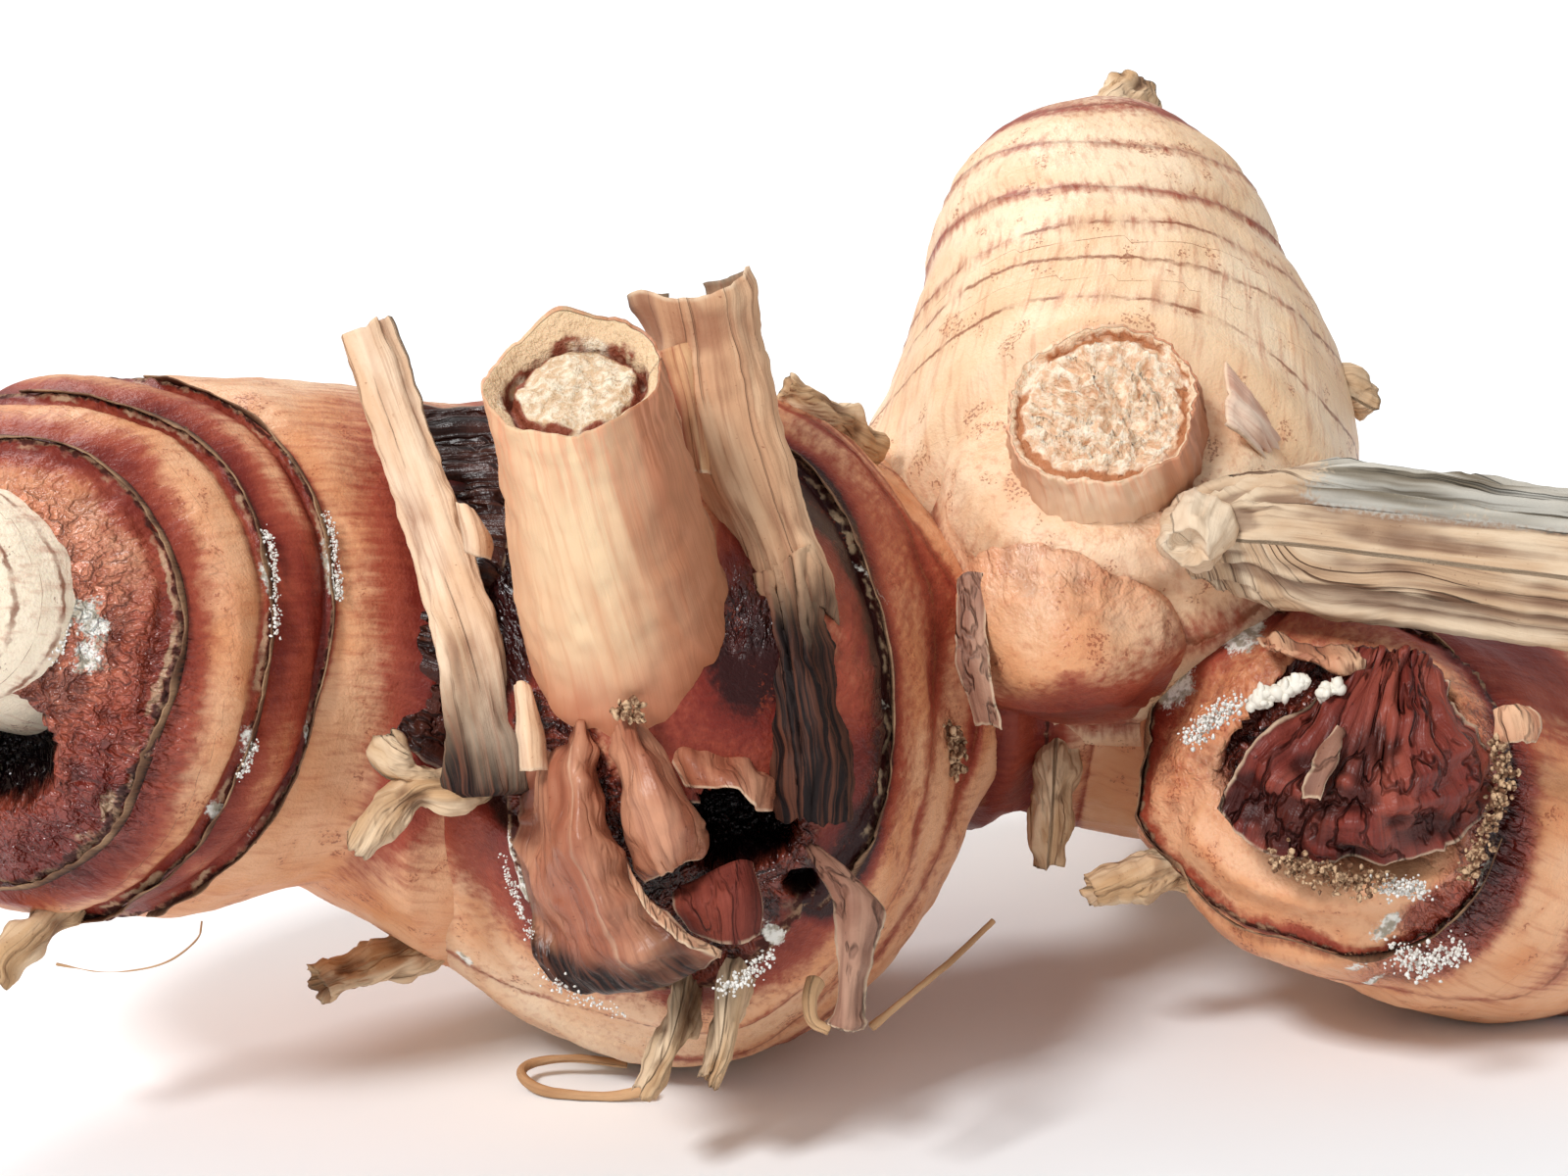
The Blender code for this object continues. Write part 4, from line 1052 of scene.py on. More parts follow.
def on_lobe(name, degrees, length, lift=0.0):
    """Points on a lobe's skin at some turns in degrees and lengths, raised by a lift."""
    data = LOBES[name]
    spine = spine_of(data["spine"], data["flat"])
    length, turn = np.broadcast_arrays(np.asarray(length, float), np.radians(degrees))
    share = cap_share(length, spine["length"][-1], data["caps"])
    plain = read(spine, "radius", length) * share
    place = swept(spine, length, plain, turn)
    push = (swells(place, length, turn) + run_together(name, place)) * np.minimum(share * 2, 1)
    return swept(spine, length, plain + push + lift, turn)


def tube_faces(rows, sides):
    """Quads between rings of points, and a fan over each end round one more point."""
    i, j = np.meshgrid(np.arange(rows - 1), np.arange(sides), indexing="ij")
    k = (j + 1) % sides
    quads = np.stack([i * sides + j, (i + 1) * sides + j, (i + 1) * sides + k, i * sides + k], -1)
    j = np.arange(sides)
    k = (j + 1) % sides
    last = (rows - 1) * sides
    low = np.stack([np.full(sides, rows * sides), j, k], -1)
    high = np.stack([np.full(sides, rows * sides + 1), last + k, last + j], -1)
    return [quads.reshape(-1, 4), low, high]


def shell_faces(rows, columns):
    """Quads over the two faces of a thin sheet and round its rim."""
    count = rows * columns
    i, j = np.meshgrid(np.arange(rows - 1), np.arange(columns - 1), indexing="ij")
    a = (i * columns + j).ravel()
    quads = np.stack([a, a + columns, a + columns + 1, a + 1], -1)
    rim = np.concatenate([
        np.arange(columns),
        np.arange(1, rows) * columns + columns - 1,
        (rows - 1) * columns + np.arange(columns - 2, -1, -1),
        np.arange(rows - 2, 0, -1) * columns,
    ])
    after = np.roll(rim, -1)
    return [quads, (quads + count)[:, ::-1], np.stack([rim, after, count + after, count + rim], -1)]


def enclosed(points, faces):
    """Six times the volume that the faces enclose; below zero when they face inward."""
    total = 0.0
    for part in faces:
        for k in range(1, part.shape[1] - 1):
            a, b, c = points[part[:, 0]], points[part[:, k]], points[part[:, k + 1]]
            total += np.einsum("ij,ij->", a, np.cross(b, c))
    return total


def piece(name, points, faces, fields, vectors, material, nodes):
    """A closed mesh piece above the floor, with fields on its points, riding on the one body."""
    points = points.reshape(-1, 3)
    points[:, 2] = np.maximum(points[:, 2], FLOOR_GAP)
    if enclosed(points - points.mean(axis=0), faces) < 0:
        faces = [part[:, ::-1] for part in faces]
    mesh = bpy.data.meshes.new(name)
    mesh.vertices.add(len(points))
    mesh.vertices.foreach_set("co", ((points - CENTRE) * MM).ravel())
    corners = np.concatenate([part.ravel() for part in faces])
    totals = np.concatenate([np.full(len(part), part.shape[1]) for part in faces])
    mesh.loops.add(len(corners))
    mesh.loops.foreach_set("vertex_index", corners)
    mesh.polygons.add(len(totals))
    mesh.polygons.foreach_set("loop_start", np.cumsum(totals) - totals)
    mesh.polygons.foreach_set("loop_total", totals)
    mesh.update(calc_edges=True)
    if mesh.validate():
        raise RuntimeError(f"{name} has faces that can't stand")
    for kind, target, layers in (("FLOAT", "value", fields), ("FLOAT_VECTOR", "vector", vectors)):
        for key, values in layers.items():
            layer = mesh.attributes.new(key, kind, "POINT")
            layer.data.foreach_set(target, np.ascontiguousarray(values, np.float32).ravel())
    mesh.materials.append(material)
    mesh.shade_smooth()
    made = bpy.data.objects.new(name, mesh)
    bpy.context.scene.collection.objects.link(made)
    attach(made, "root")
    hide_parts(*nodes)


def with_poles(values):
    """The values of a grid's points, and at the end the mean of its first ring and of its last."""
    rows, sides = values.shape[:2]
    ends = [values[0].reshape(sides, -1).mean(0), values[-1].reshape(sides, -1).mean(0)]
    return np.concatenate([values.reshape(rows * sides, -1), ends])


def closed_grid(name, grid, fields, vectors, material, slot, nodes=()):
    """A piece from rings of points, closed by a pole at each end."""
    faces = tube_faces(*grid.shape[:2])
    fields = {key: with_poles(value) for key, value in fields.items()}
    vectors = {key: with_poles(value) for key, value in vectors.items()}
    piece(name, with_poles(grid), faces, fields, vectors, material, nodes)


def sampled(sheet, row, column):
    """A sheet's values at fractional rows and columns, blended from the four nearest."""
    rows, columns = sheet.shape[:2]
    row = np.clip(row, 0, rows - 1.001)
    column = np.clip(column, 0, columns - 1.001)
    i, j = row.astype(int), column.astype(int)
    f, g = (row - i)[..., None], (column - j)[..., None]
    low = sheet[i, j] * (1 - g) + sheet[i, j + 1] * g
    high = sheet[i + 1, j] * (1 - g) + sheet[i + 1, j + 1] * g
    return low * (1 - f) + high * f


def smooth_sheet(rows):
    """A fine sheet of 60 by 40 points through rows of points, smoothed down and then across."""
    return smoothed(smoothed(rows, 60).swapaxes(0, 1), 40).swapaxes(0, 1)


def normals(sheet):
    """The unit normals of a sheet of points."""
    return unit(np.cross(np.gradient(sheet, axis=0), np.gradient(sheet, axis=1)))


def papery(sheet, step, seed, tear=1.0, side_tear=0.6, ribs=0.12, crumple=0.3):
    """A dry sheet with torn edges, long ribs and crumples: its points, where each lies in the
    sheet, how far each is from the edge and how far it was raised.

    The sheet is read at rows shortened by the tear's bites, and each point then moves along the
    sheet's normal by ribs * crease(across) + crumple * noise(place).
    """
    down = np.linalg.norm(np.diff(sheet, axis=0), axis=-1).sum(axis=0).mean()
    wide = np.linalg.norm(np.diff(sheet, axis=1), axis=-1).sum(axis=1).mean()
    rows, columns = max(int(down / step), 4), max(int(wide / step), 4)
    v, u = np.meshgrid(np.linspace(0, 1, rows), np.linspace(0, 1, columns), indexing="ij")
    reach = 1 - tear / down * torn(u * wide, seed)
    left = side_tear / wide * torn(v * down, seed + 3)
    right = 1 - side_tear / wide * torn(v * down, seed + 6)
    across = left + (right - left) * u
    shaped = sampled(sheet, v * reach * (sheet.shape[0] - 1), across * (sheet.shape[1] - 1))
    weave = np.stack([across * wide, v * reach * down, np.full(u.shape, seed * 3.1)], -1)
    shift = ribs * (creased(weave * (1, 0.12, 1), 0.9, seed) - 0.5)
    shift += crumple * (rough(weave, 4.5, seed) + 0.5 * (creased(weave, 3.2, seed + 4) - 0.4))
    shift += 0.22 * crumple * (creased(weave * (1, 0.6, 1), 1.3, seed + 5) - 0.4)
    edge = np.minimum((1 - v) * down, np.minimum(u, 1 - u) * wide)
    return shaped + normals(shaped) * shift[..., None], weave, edge, shift


def shell(name, sheet, thickness, material, slot, nodes=(), **fields):
    """A thin closed piece round a sheet, half its thickness to each side and thinner at its edge."""
    shaped, weave, edge, rise = sheet
    half = thickness / 2 * (0.35 + 0.65 * np.clip(edge / 0.7, 0, 1))[..., None] * normals(shaped)
    points = np.concatenate([shaped + half, shaped - half])
    fields = {"edge": edge, "rise": rise, **fields}
    fields = {key: np.concatenate([value] * 2) for key, value in fields.items()}
    faces = shell_faces(*edge.shape)
    piece(name, points, faces, fields, {"weave": np.concatenate([weave] * 2)}, material, nodes)


def stalk(points, step, flat=ROUND, up=TOWARDS_FRONT, top=((0, 1), (0, 0)), tear=0.6, seed=1,
          ribs=0.15, rib_count=1.1, lump=0.2, shape=None, rim=None, crumbs=0.0):
    """A stem: rings of points up its middle line, then over its cut end.

    Its radius is r(L) + ribs * crease(round) + lump * noise(place) + shape(turn, L). The top is a
    list of depths below the cut and shares of the radius. The rim's height is tear * noise(turn) +
    rim(turn), and crumbs roughens what lies inside the rim.
    """
    spine = spine_of(points, flat, up)
    whole = spine["length"][-1]
    widest = spine["radius"].max() * max(flat)
    sides = max(int(2 * math.pi * widest / step), 10)
    turn = np.arange(sides)[None] * 2 * math.pi / sides
    foot = read(spine, "radius", 0.0)
    wall = np.linspace(0, whole, max(int(whole / step), 6))
    depths, shares = np.array(top).T
    spans = np.hypot(np.diff(depths), np.diff(shares) * read(spine, "radius", whole))
    place = np.concatenate([[0], np.cumsum(spans)])
    ends = np.linspace(0, place[-1], max(int(place[-1] / step), 2) + 1)[1:-1]
    share = np.concatenate([np.ones(len(wall)), np.interp(ends, place, shares)])[:, None]
    share[0] = 1 - min(0.5, 0.3 * foot) / foot
    length = np.concatenate([wall, whole - np.interp(ends, place, depths)])[:, None] + 0 * turn
    cut = np.concatenate([np.full(len(wall), -1.0), ends])[:, None] + 0 * turn
    ragged = tear * (torn(turn * widest, seed) - 0.4)
    reached = np.clip((share - 0.5) * 4, 0, 1)
    if rim:
        ragged = ragged + rim(turn)
        reached = share
    near_top = np.clip(1 - (whole - length) / 3, 0, 1) * reached
    radius = read(spine, "radius", length)
    plain = radius * share
    skin = np.stack([plain * np.cos(turn), plain * np.sin(turn), length], -1)
    ribbed = skin * (rib_count, rib_count, 0.1)
    relief = ribs * (creased(ribbed, 1.0, seed) - 0.5) + lump * rough(skin, 2.0, seed + 1)
    if shape:
        relief = relief + shape(turn, length)
    inner = creased(ribbed * (1, 1, 0) + plain[..., None], 1.3, seed + 2) - 0.5
    inner = crumbs * inner * np.clip((0.85 - share) * 8, 0, 1)
    grid = swept(spine, length + ragged * near_top + inner, plain + relief * np.clip(share * 2, 0, 1), turn)
    fields = {
        "cut": cut,
        "share": share + 0 * turn,
        "along": length / whole,
        "rise": relief,
        "edge": np.full(cut.shape, 5.0),
        "side": np.cos(turn) + 0 * length,
    }
    weave = np.stack([radius * turn, length, np.zeros_like(length)], -1)
    return grid, fields, {"weave": weave, "skin": skin}


def linear(text):
    """A colour for the shaders from its sRGB hex text."""
    values = np.array([int(text[k : k + 2], 16) for k in (1, 3, 5)]) / 255
    return (*np.where(values <= 0.04045, values / 12.92, ((values + 0.055) / 1.055) ** 2.4), 1.0)


def add(tree, kind, inputs, output=0, **settings):
    """Adds a shader node with its settings, links or sets its inputs, and gives one output."""
    node = tree.nodes.new("ShaderNode" + kind)
    for key, value in settings.items():
        setattr(node, key, value)
    for key, value in inputs.items():
        if isinstance(value, bpy.types.NodeSocket):
            tree.links.new(value, node.inputs[key])
        else:
            node.inputs[key].default_value = value
    return node.outputs[output]


def new_material(name, roughness, flesh=0.0, flesh_radius=(1.0, 0.35, 0.2)):
    """A dull natural skin that light sinks into by its share of moist flesh: material and tree."""
    material = bpy.data.materials.new(name)
    material.use_nodes = True
    shader = material.node_tree.nodes["Principled BSDF"]
    shader.inputs["Roughness"].default_value = roughness
    shader.inputs["Specular IOR Level"].default_value = 0.25
    if flesh:
        shader.inputs["Subsurface Weight"].default_value = flesh
        shader.inputs["Subsurface Radius"].default_value = flesh_radius
        shader.inputs["Subsurface Scale"].default_value = 0.0015
    return material, material.node_tree


def blobs(tree, size, detail=3.0, roughness=0.55, field="", stretch=(1, 1, 1)):
    """Noise whose blobs are about size millimetres wide, on the object's own coordinates or on a
    vector field of the mesh in millimetres, stretched on each axis."""
    if field:
        place = add(tree, "Attribute", {}, "Vector", attribute_name=field)
        place = add(tree, "VectorMath", {0: place, 1: stretch}, operation="MULTIPLY")
        scale = 1 / size
    else:
        place = add(tree, "TexCoord", {}, "Object")
        scale = 1 / (size * MM)
    inputs = {"Vector": place, "Scale": scale, "Detail": detail, "Roughness": roughness}
    return add(tree, "TexNoise", inputs)


def product(tree, *shares):
    """The product of some shares from 0 to 1.

    A share is a number, a socket, or a value with two marks, which rises smoothly from 0 at the
    first mark to 1 at the second. With a third number it is that number's distance that does.
    """
    total = None
    for share in shares:
        if isinstance(share, tuple):
            value, low, high, *middle = share
            if middle:
                value = add(tree, "Math", {0: value, 1: middle[0]}, operation="SUBTRACT")
                value = add(tree, "Math", {0: value}, operation="ABSOLUTE")
            share = add(tree, "MapRange", {0: value, 1: low, 2: high}, interpolation_type="SMOOTHSTEP")
        total = share if total is None else add(tree, "Math", {0: total, 1: share}, operation="MULTIPLY")
    return total


def weighed(tree, *pairs):
    """The sum of some values, each times its weight."""
    total = 0.0
    for value, weight in pairs:
        total = add(tree, "Math", {0: value, 1: weight, 2: total}, operation="MULTIPLY_ADD")
    return total


def wandering(tree, value, pattern, width):
    """A value moved up and down by a pattern, so that what starts at it wanders."""
    shift = add(tree, "Math", {0: pattern, 1: width, 2: -width / 2}, operation="MULTIPLY_ADD")
    return add(tree, "Math", {0: value, 1: shift}, operation="ADD")


def wash(tree, under, over, *shares):
    """One colour laid over another by the product of some shares. Hex texts are turned linear."""
    under, over = (linear(colour) if isinstance(colour, str) else colour for colour in (under, over))
    return add(tree, "Mix", {0: product(tree, *shares), 6: under, 7: over}, 2, data_type="RGBA")


def finish(tree, colour, height, depth):
    """Sets the colour, and a bump whose full height stands for a depth in metres."""
    shader = tree.nodes["Principled BSDF"]
    tree.links.new(colour, shader.inputs["Base Color"])
    if depth:
        raised = add(tree, "Bump", {"Height": height, "Distance": depth, "Strength": 1.0})
        tree.links.new(raised, shader.inputs["Normal"])


def skin_material(looks):
    """The skin of fresh galangal: a thin waxy skin over moist flesh that light sinks into."""
    material, tree = new_material("galangal_skin", 0.42, 0.06)
    mellow, wrinkle, stain, rise, fold, gap, faint, torn_open, hollow_shade, mould = (
        add(tree, "Attribute", {}, "Fac", attribute_name=key) for key in (
            "cream", "wrinkle", "stain", "rise", "fold_gap", "ring_gap", "faint", "raw", "hollow_shade", "mould"))
    broad = blobs(tree, 7.0)
    patch = blobs(tree, 2.6)
    fine = blobs(tree, 0.7)
    grain = blobs(tree, 0.22, 2.0)
    streak = blobs(tree, 0.5, field="skin", stretch=(1, 1, 0.07))
    # Young skin is pale and waxy; older skin is tan, with a rose tint where it thins.
    colour = wash(tree, (*looks.tan, 1.0), "#E3AE86", (broad, 0.36, 0.62))
    colour = wash(tree, colour, "#C67850", (patch, 0.48, 0.75), 0.5)
    cream = wash(tree, "#E4C09A", "#EFD4B4", (broad, 0.35, 0.65))
    cream = wash(tree, cream, "#E3AA7C", (patch, 0.5, 0.8), 0.5)
    mellow = wandering(tree, mellow, broad, 0.6)
    cream = wash(tree, cream, "#FBEBD2", (mellow, 1.3, 1.8))
    colour = wash(tree, colour, cream, (mellow, 0.05, 0.9))
    # Fibres under the skin show as faint streaks along each lobe.
    colour = wash(tree, colour, "#B4623E", (streak, 0.48, 0.72), 0.3)
    # Dried skin shrinks to a net of wrinkles and turns red-brown, and its creases are painted darker still,
    # as shade.
    net = product(tree, (blobs(tree, 1.5, 2.5, field="skin", stretch=(1, 1, 0.35)), 0.1, 0.0, 0.5))
    small_net = product(tree, (blobs(tree, 0.7, 2.0, field="skin", stretch=(1, 1, 0.5)), 0.12, 0.0, 0.5))
    dried = product(tree, (wrinkle, 0.15, 0.8))
    colour = wash(tree, colour, "#C8755C", dried, 0.85)
    crease = product(tree, dried, weighed(tree, (small_net, 0.2), (net, 0.4)))
    colour = wash(tree, colour, "#7A2C1E", crease)
    # Pigment gathers at the scars: rose-brown first, then wine, then nearly black. The same stain also
    # carries painted shade, from the stains and stamps laid in creases and under the dry stem.
    stain = wandering(tree, wandering(tree, stain, fine, 0.3), streak, 0.5)
    colour = wash(tree, colour, (*looks.blush, 1.0), (stain, 0.08, 0.6))
    colour = wash(tree, colour, "#72241A", (stain, 0.5, 1.0))
    colour = wash(tree, colour, "#2A0706", (stain, 0.95, 1.45))
    # Where the wrinkles and torn flesh sink, painted shade darkens the troughs.
    colour = wash(tree, colour, "#4A150F", (rise, -0.02, -0.4), 0.7)
    # Old skin is flecked with brown and red cork.
    fleck = product(tree, grain, (patch, 0.4, 0.66))
    colour = wash(tree, colour, "#7E3420", (fleck, 0.5, 0.6), 0.6)
    fold = wandering(tree, fold, fine, 0.7)
    colour = wash(tree, colour, "#80452A", (fold, 0.26, 0.06, 0.0), (patch, 0.34, 0.56), 0.8)
    # A scar is a torn corky line, dark with a pale frayed edge towards the tip.
    gap = wandering(tree, gap, fine, 0.7)
    bold = product(tree, (faint, 1.0, 0.3))
    crust = product(tree, (gap, 0.29, 0.1, 0.0), bold)
    bark = wash(tree, "#3A1810", "#94745A", (fine, 0.45, 0.62))
    colour = wash(tree, colour, bark, crust, 0.9)
    colour = wash(tree, colour, "#C9AC8A", (gap, 0.2, 0.06, 0.36), (patch, 0.5, 0.62), bold, 0.6)
    # Broken flesh dries to dark red-brown shreds with grey crusts.
    shred = blobs(tree, 1.3, 4.0, 0.6, "skin", (1, 1, 0.5))
    raw = wash(tree, "#2A0B0A", "#7C3424", (shred, 0.36, 0.62))
    raw = wash(tree, raw, "#B0745A", (fine, 0.62, 0.76), 0.5)
    raw = wash(tree, raw, "#857268", (patch, 0.64, 0.75), 0.5)
    # The creases of broken flesh are painted nearly black, as shade.
    raw = wash(tree, raw, "#1E0606", crease)
    colour = wash(tree, colour, raw, (wandering(tree, torn_open, fine, 0.7), 0.3, 0.7))
    # Hollows are painted near black, as shade.
    colour = wash(tree, colour, "#120405", hollow_shade)
    # Mould is a white bloom with grey in its thin places.
    white = product(tree, (wandering(tree, mould, grain, 0.8), 0.42, 0.66))
    colour = wash(tree, colour, wash(tree, "#A9A08F", "#EFECE4", (fine, 0.4, 0.6)), white)
    # Dried skin is glossier than fresh skin, and bark and mould are dull.
    wet = add(tree, "Math", {0: dried, 1: -0.2, 2: 0.42}, operation="MULTIPLY_ADD")
    for share, dull in ((crust, 0.8), (white, 0.95)):
        wet = add(tree, "Math", {0: wet, 1: product(tree, share, dull)}, operation="MAXIMUM")
    shine = add(tree, "Math", {0: dried, 1: 0.35, 2: 0.25}, operation="MULTIPLY_ADD")
    shader = tree.nodes["Principled BSDF"]
    tree.links.new(wet, shader.inputs["Roughness"])
    tree.links.new(shine, shader.inputs["Specular IOR Level"])
    height = weighed(tree, (grain, 0.2), (fine, 0.3), (streak, 0.2), (crease, -3.0))
    finish(tree, colour, height, 0.0003)
    return material


def dry_material(name, light, middle, dark, fibres=0.4, roughness=0.7, rib=0.00015, veins=0.0, cracks=0.0):
    """A dead leaf base: parallel fibres in a thin brown sheet, paler where its edge is frayed.

    Fibres is how much the fibres show against the sheet between them, veins how much a net of
    shrunken creases does, with painted shade darkening them, and cracks how much the long thin splits do.
    """
    material, tree = new_material(name, roughness)
    rise, edge, darkness_and_shade, mould = (
        add(tree, "Attribute", {}, "Fac", attribute_name=key) for key in ("rise", "edge", "dark", "mould"))
    fibre = blobs(tree, 0.3, field="weave", stretch=(1, 0.025, 1))
    band = blobs(tree, 1.2, 2.0, field="weave", stretch=(1, 0.06, 1))
    patch = blobs(tree, 3.6, 4.0, field="weave", stretch=(1, 0.3, 1))
    grain = blobs(tree, 0.3, 2.0, field="weave")
    net = product(tree, (blobs(tree, 2.4, field="weave", stretch=(1, 0.4, 1)), 0.045, 0.0, 0.5))
    split = blobs(tree, 2.4, 2.0, field="weave", stretch=(1, 0.03, 1))
    split = product(tree, (split, 0.016, 0.003, 0.5), (patch, 0.42, 0.56))
    # The fibres, in bands, on a sheet that is darker in patches, with painted shade in its troughs and in
    # its net of shrunken creases.
    colour = wash(tree, light, middle, (patch, 0.35, 0.6))
    colour = wash(tree, colour, dark, (fibre, 0.5, 0.7), fibres)
    colour = wash(tree, colour, light, (fibre, 0.46, 0.3), fibres * 0.8)
    colour = wash(tree, colour, dark, (band, 0.54, 0.74), fibres * 0.9)
    colour = wash(tree, colour, dark, (patch, 0.58, 0.8), 0.45)
    colour = wash(tree, colour, dark, (rise, 0.0, -0.6), 0.8)
    colour = wash(tree, colour, dark, net, veins)
    colour = wash(tree, colour, "#54301E", split, cracks)
    colour = wash(tree, colour, dark, (grain, 0.66, 0.74), (patch, 0.4, 0.6), 0.7)
    colour = wash(tree, colour, "#E0C6A8", (edge, 0.3, 0.05), (band, 0.3, 0.55), 0.65)
    # Where a sheath has rotted it is nearly black, with brown fibres left in it. The same mask paints the
    # shade inside the front sheath's mouth.
    black = wash(tree, "#120504", "#5C3424", (fibre, 0.42, 0.66), 0.9)
    colour = wash(tree, colour, black, (wandering(tree, darkness_and_shade, patch, 0.7), 0.2, 0.8))
    # Mould greys the sheet, darker along some of its bands.
    mould = wandering(tree, wandering(tree, mould, grain, 0.6), patch, 0.8)
    fungus = wash(tree, "#B4B4AC", "#4C4C42", (band, 0.46, 0.6))
    colour = wash(tree, colour, fungus, (mould, 0.4, 0.75), 0.8)
    height = weighed(
        tree, (grain, 0.25), (band, 0.8), (fibre, 0.6), (net, -4.0 * veins), (split, -2.0 * cracks))
    finish(tree, colour, height, rib)
    return material


def shoot_material(name, wall, streaks, gap_shade, pith_light, pith_dark, gap):
    """A shoot cut across: fresh leaf bases round a pith that dries to crumbs.

    Gap gives the shares of the radius between which a leaf base has shrunk from the pith, and the groove
    there is painted as shadow.
    """
    material, tree = new_material(name, 0.5, 0.1, (1.0, 0.5, 0.3))
    along, side, share, cut = (
        add(tree, "Attribute", {}, "Fac", attribute_name=key) for key in ("along", "side", "share", "cut"))
    streak = blobs(tree, 0.5, field="weave", stretch=(1, 0.05, 1))
    band = blobs(tree, 2.0, 2.0, field="weave", stretch=(1, 0.15, 1))
    crumb = blobs(tree, 0.7, 4.0, 0.65)
    pore = blobs(tree, 0.3, 2.0)
    wave = blobs(tree, 3.0, 2.0)
    # The wall: streaks and bands, with painted shade in brown at its foot by the flesh and on its right
    # side away from the light, a rose tint on its left side, and pink below the cut.
    colour = wash(tree, wall, streaks, (streak, 0.48, 0.7), 0.35)
    colour = wash(tree, colour, streaks, (band, 0.46, 0.7), 0.45)
    colour = wash(tree, colour, "#B4694A", (wandering(tree, along, band, 0.3), 0.42, 0.12), 0.85)
    # The side mask: painted shade on the right, a rose tint on the left.
    blush = wandering(tree, side, band, 0.8)
    colour = wash(tree, colour, "#A25C3A", (blush, -0.2, 0.8), 0.85)
    colour = wash(tree, colour, "#CC8A66", (blush, -0.5, -1.0), 0.5)
    colour = wash(tree, colour, "#DE9C7A", (along, 0.6, 0.95), (streak, 0.45, 0.6), 0.5)
    # The cut end: pith, the arcs of painted shadow in the groove where a leaf base has shrunk from it, and
    # the outer wall.
    share = wandering(tree, wandering(tree, share, crumb, 0.1), wave, 0.26)
    top = wash(tree, pith_dark, pith_light, (crumb, 0.4, 0.62))
    top = wash(tree, top, pith_dark, (pore, 0.6, 0.72), 0.3)
    top = wash(tree, top, gap_shade, (share, gap[0] - 0.03, gap[0] + 0.01), (wave, 0.36, 0.48))
    top = wash(tree, top, wall, (share, gap[1] - 0.01, gap[1] + 0.03))
    inside = product(tree, (cut, -0.3, 0.0))
    colour = wash(tree, colour, top, inside)
    dry = product(tree, inside, weighed(tree, (pore, 0.5), (crumb, 1.3)))
    finish(tree, colour, weighed(tree, (dry, 1.0), (streak, 0.3)), 0.0003)
    return material


def speck_material(name, roughness, dark, light, size, marks=(), depth=0.0):
    """A crumb of mould, wax or bark: two near colours in blobs of a size in millimetres, told
    apart at the two marks if there are any."""
    material, tree = new_material(name, roughness)
    pattern = blobs(tree, size)
    colour = wash(tree, dark, light, (pattern, *marks) if marks else pattern)
    finish(tree, colour, pattern, depth)
    return material


def clear_up(points):
    """The world axis that a short spine runs least along, to turn its rings by."""
    run = np.abs(np.array(points[-1][:3]) - np.array(points[0][:3]))
    return tuple(np.eye(3)[run.argmin()])


def splits(seed):
    """A shape for a stem with long splits: 0.22 * crease(turn), nearly the same all along it."""

    def shape(turn, length):
        turn, length = np.broadcast_arrays(turn, length)
        around = np.stack([np.cos(turn), np.sin(turn), length * 0.06], -1)
        return 0.22 * (creased(around, 0.5, seed) - 0.5)

    return shape


def stump_wrap(turn, length):
    """The leaf base that wraps the front stump's right: a swell that ends in a step at its edge."""
    angle = (turn + math.pi) % (2 * math.pi) - math.pi
    edge = np.radians(np.interp(length, (0, 2, 5, 9, 14, 18), (-30, 5, 45, 66, 78, 84)))
    inside = np.clip((edge - angle) / 0.1, 0, 1) * np.clip((angle + 2.2) / 0.4, 0, 1)
    tall = np.interp(length, (0, 2, 6, 10, 14, 18, 21), (0.0, 0.2, 0.45, 0.5, 0.4, 0.2, 0.0))
    flare = 0.7 * np.exp(-length / 2.0)
    return inside * tall * (0.4 + 0.6 * np.clip(np.cos(angle - 0.5), 0, 1)) + flare


def front_rim(turn):
    """The front stump's rim: low in front, high behind, with two torn tabs."""
    degrees = np.degrees(turn)
    tabs = 0.9 * bump(turn_between(degrees, 262), 20) + 0.7 * bump(turn_between(degrees, 175), 16)
    return -1.2 * np.sin(turn) + tabs


def back_rim(turn):
    """The back stump's rim: a peel that stands up behind and on the right."""
    degrees = np.degrees(turn)
    return 0.9 * bump(turn_between(degrees, 300), 60) + 0.5 * bump(turn_between(degrees, 20), 20)


def crumb_cluster(name, path, spread, count, size, material):
    """Many small crumbs strewn along a path: each a sphere whose radius is size * (0.6 + noise)."""
    random = np.random.default_rng(sum(name.encode()))
    line = smoothed(path, 200)
    middles = line[random.integers(0, 200, count)] + random.normal(size=(count, 3)) * spread
    # Larger crumbs have finer meshes.
    rise, sides = (7, 10) if size > 0.3 else (4, 6)
    polar = np.linspace(0.25, math.pi - 0.25, rise)[:, None]
    turn = np.arange(sides)[None] * 2 * math.pi / sides
    out = np.sin(polar)
    ball = np.stack([out * np.cos(turn), out * np.sin(turn), np.cos(polar) + 0 * turn], -1)
    sizes = size * random.uniform(0.4, 1.3, count)
    shapes = sizes[:, None] * random.uniform(0.6, 1.2, (count, 3))
    apart = np.arange(count)[:, None, None, None] * 2.7
    swell = 0.6 + 0.8 * noise(ball[None] * 1.3 + apart, 1.0, 5)
    grids = ball[None] * shapes[:, None, None] * swell[..., None] + middles[:, None, None]
    points = np.concatenate([grids.reshape(count, -1, 3), grids[:, [0, -1]].mean(axis=2)], axis=1)
    starts = np.arange(count)[:, None, None] * (rise * sides + 2)
    faces = [(part[None] + starts).reshape(-1, part.shape[1]) for part in tube_faces(rise, sides)]
    piece(name, points, faces, {}, {}, material, ())


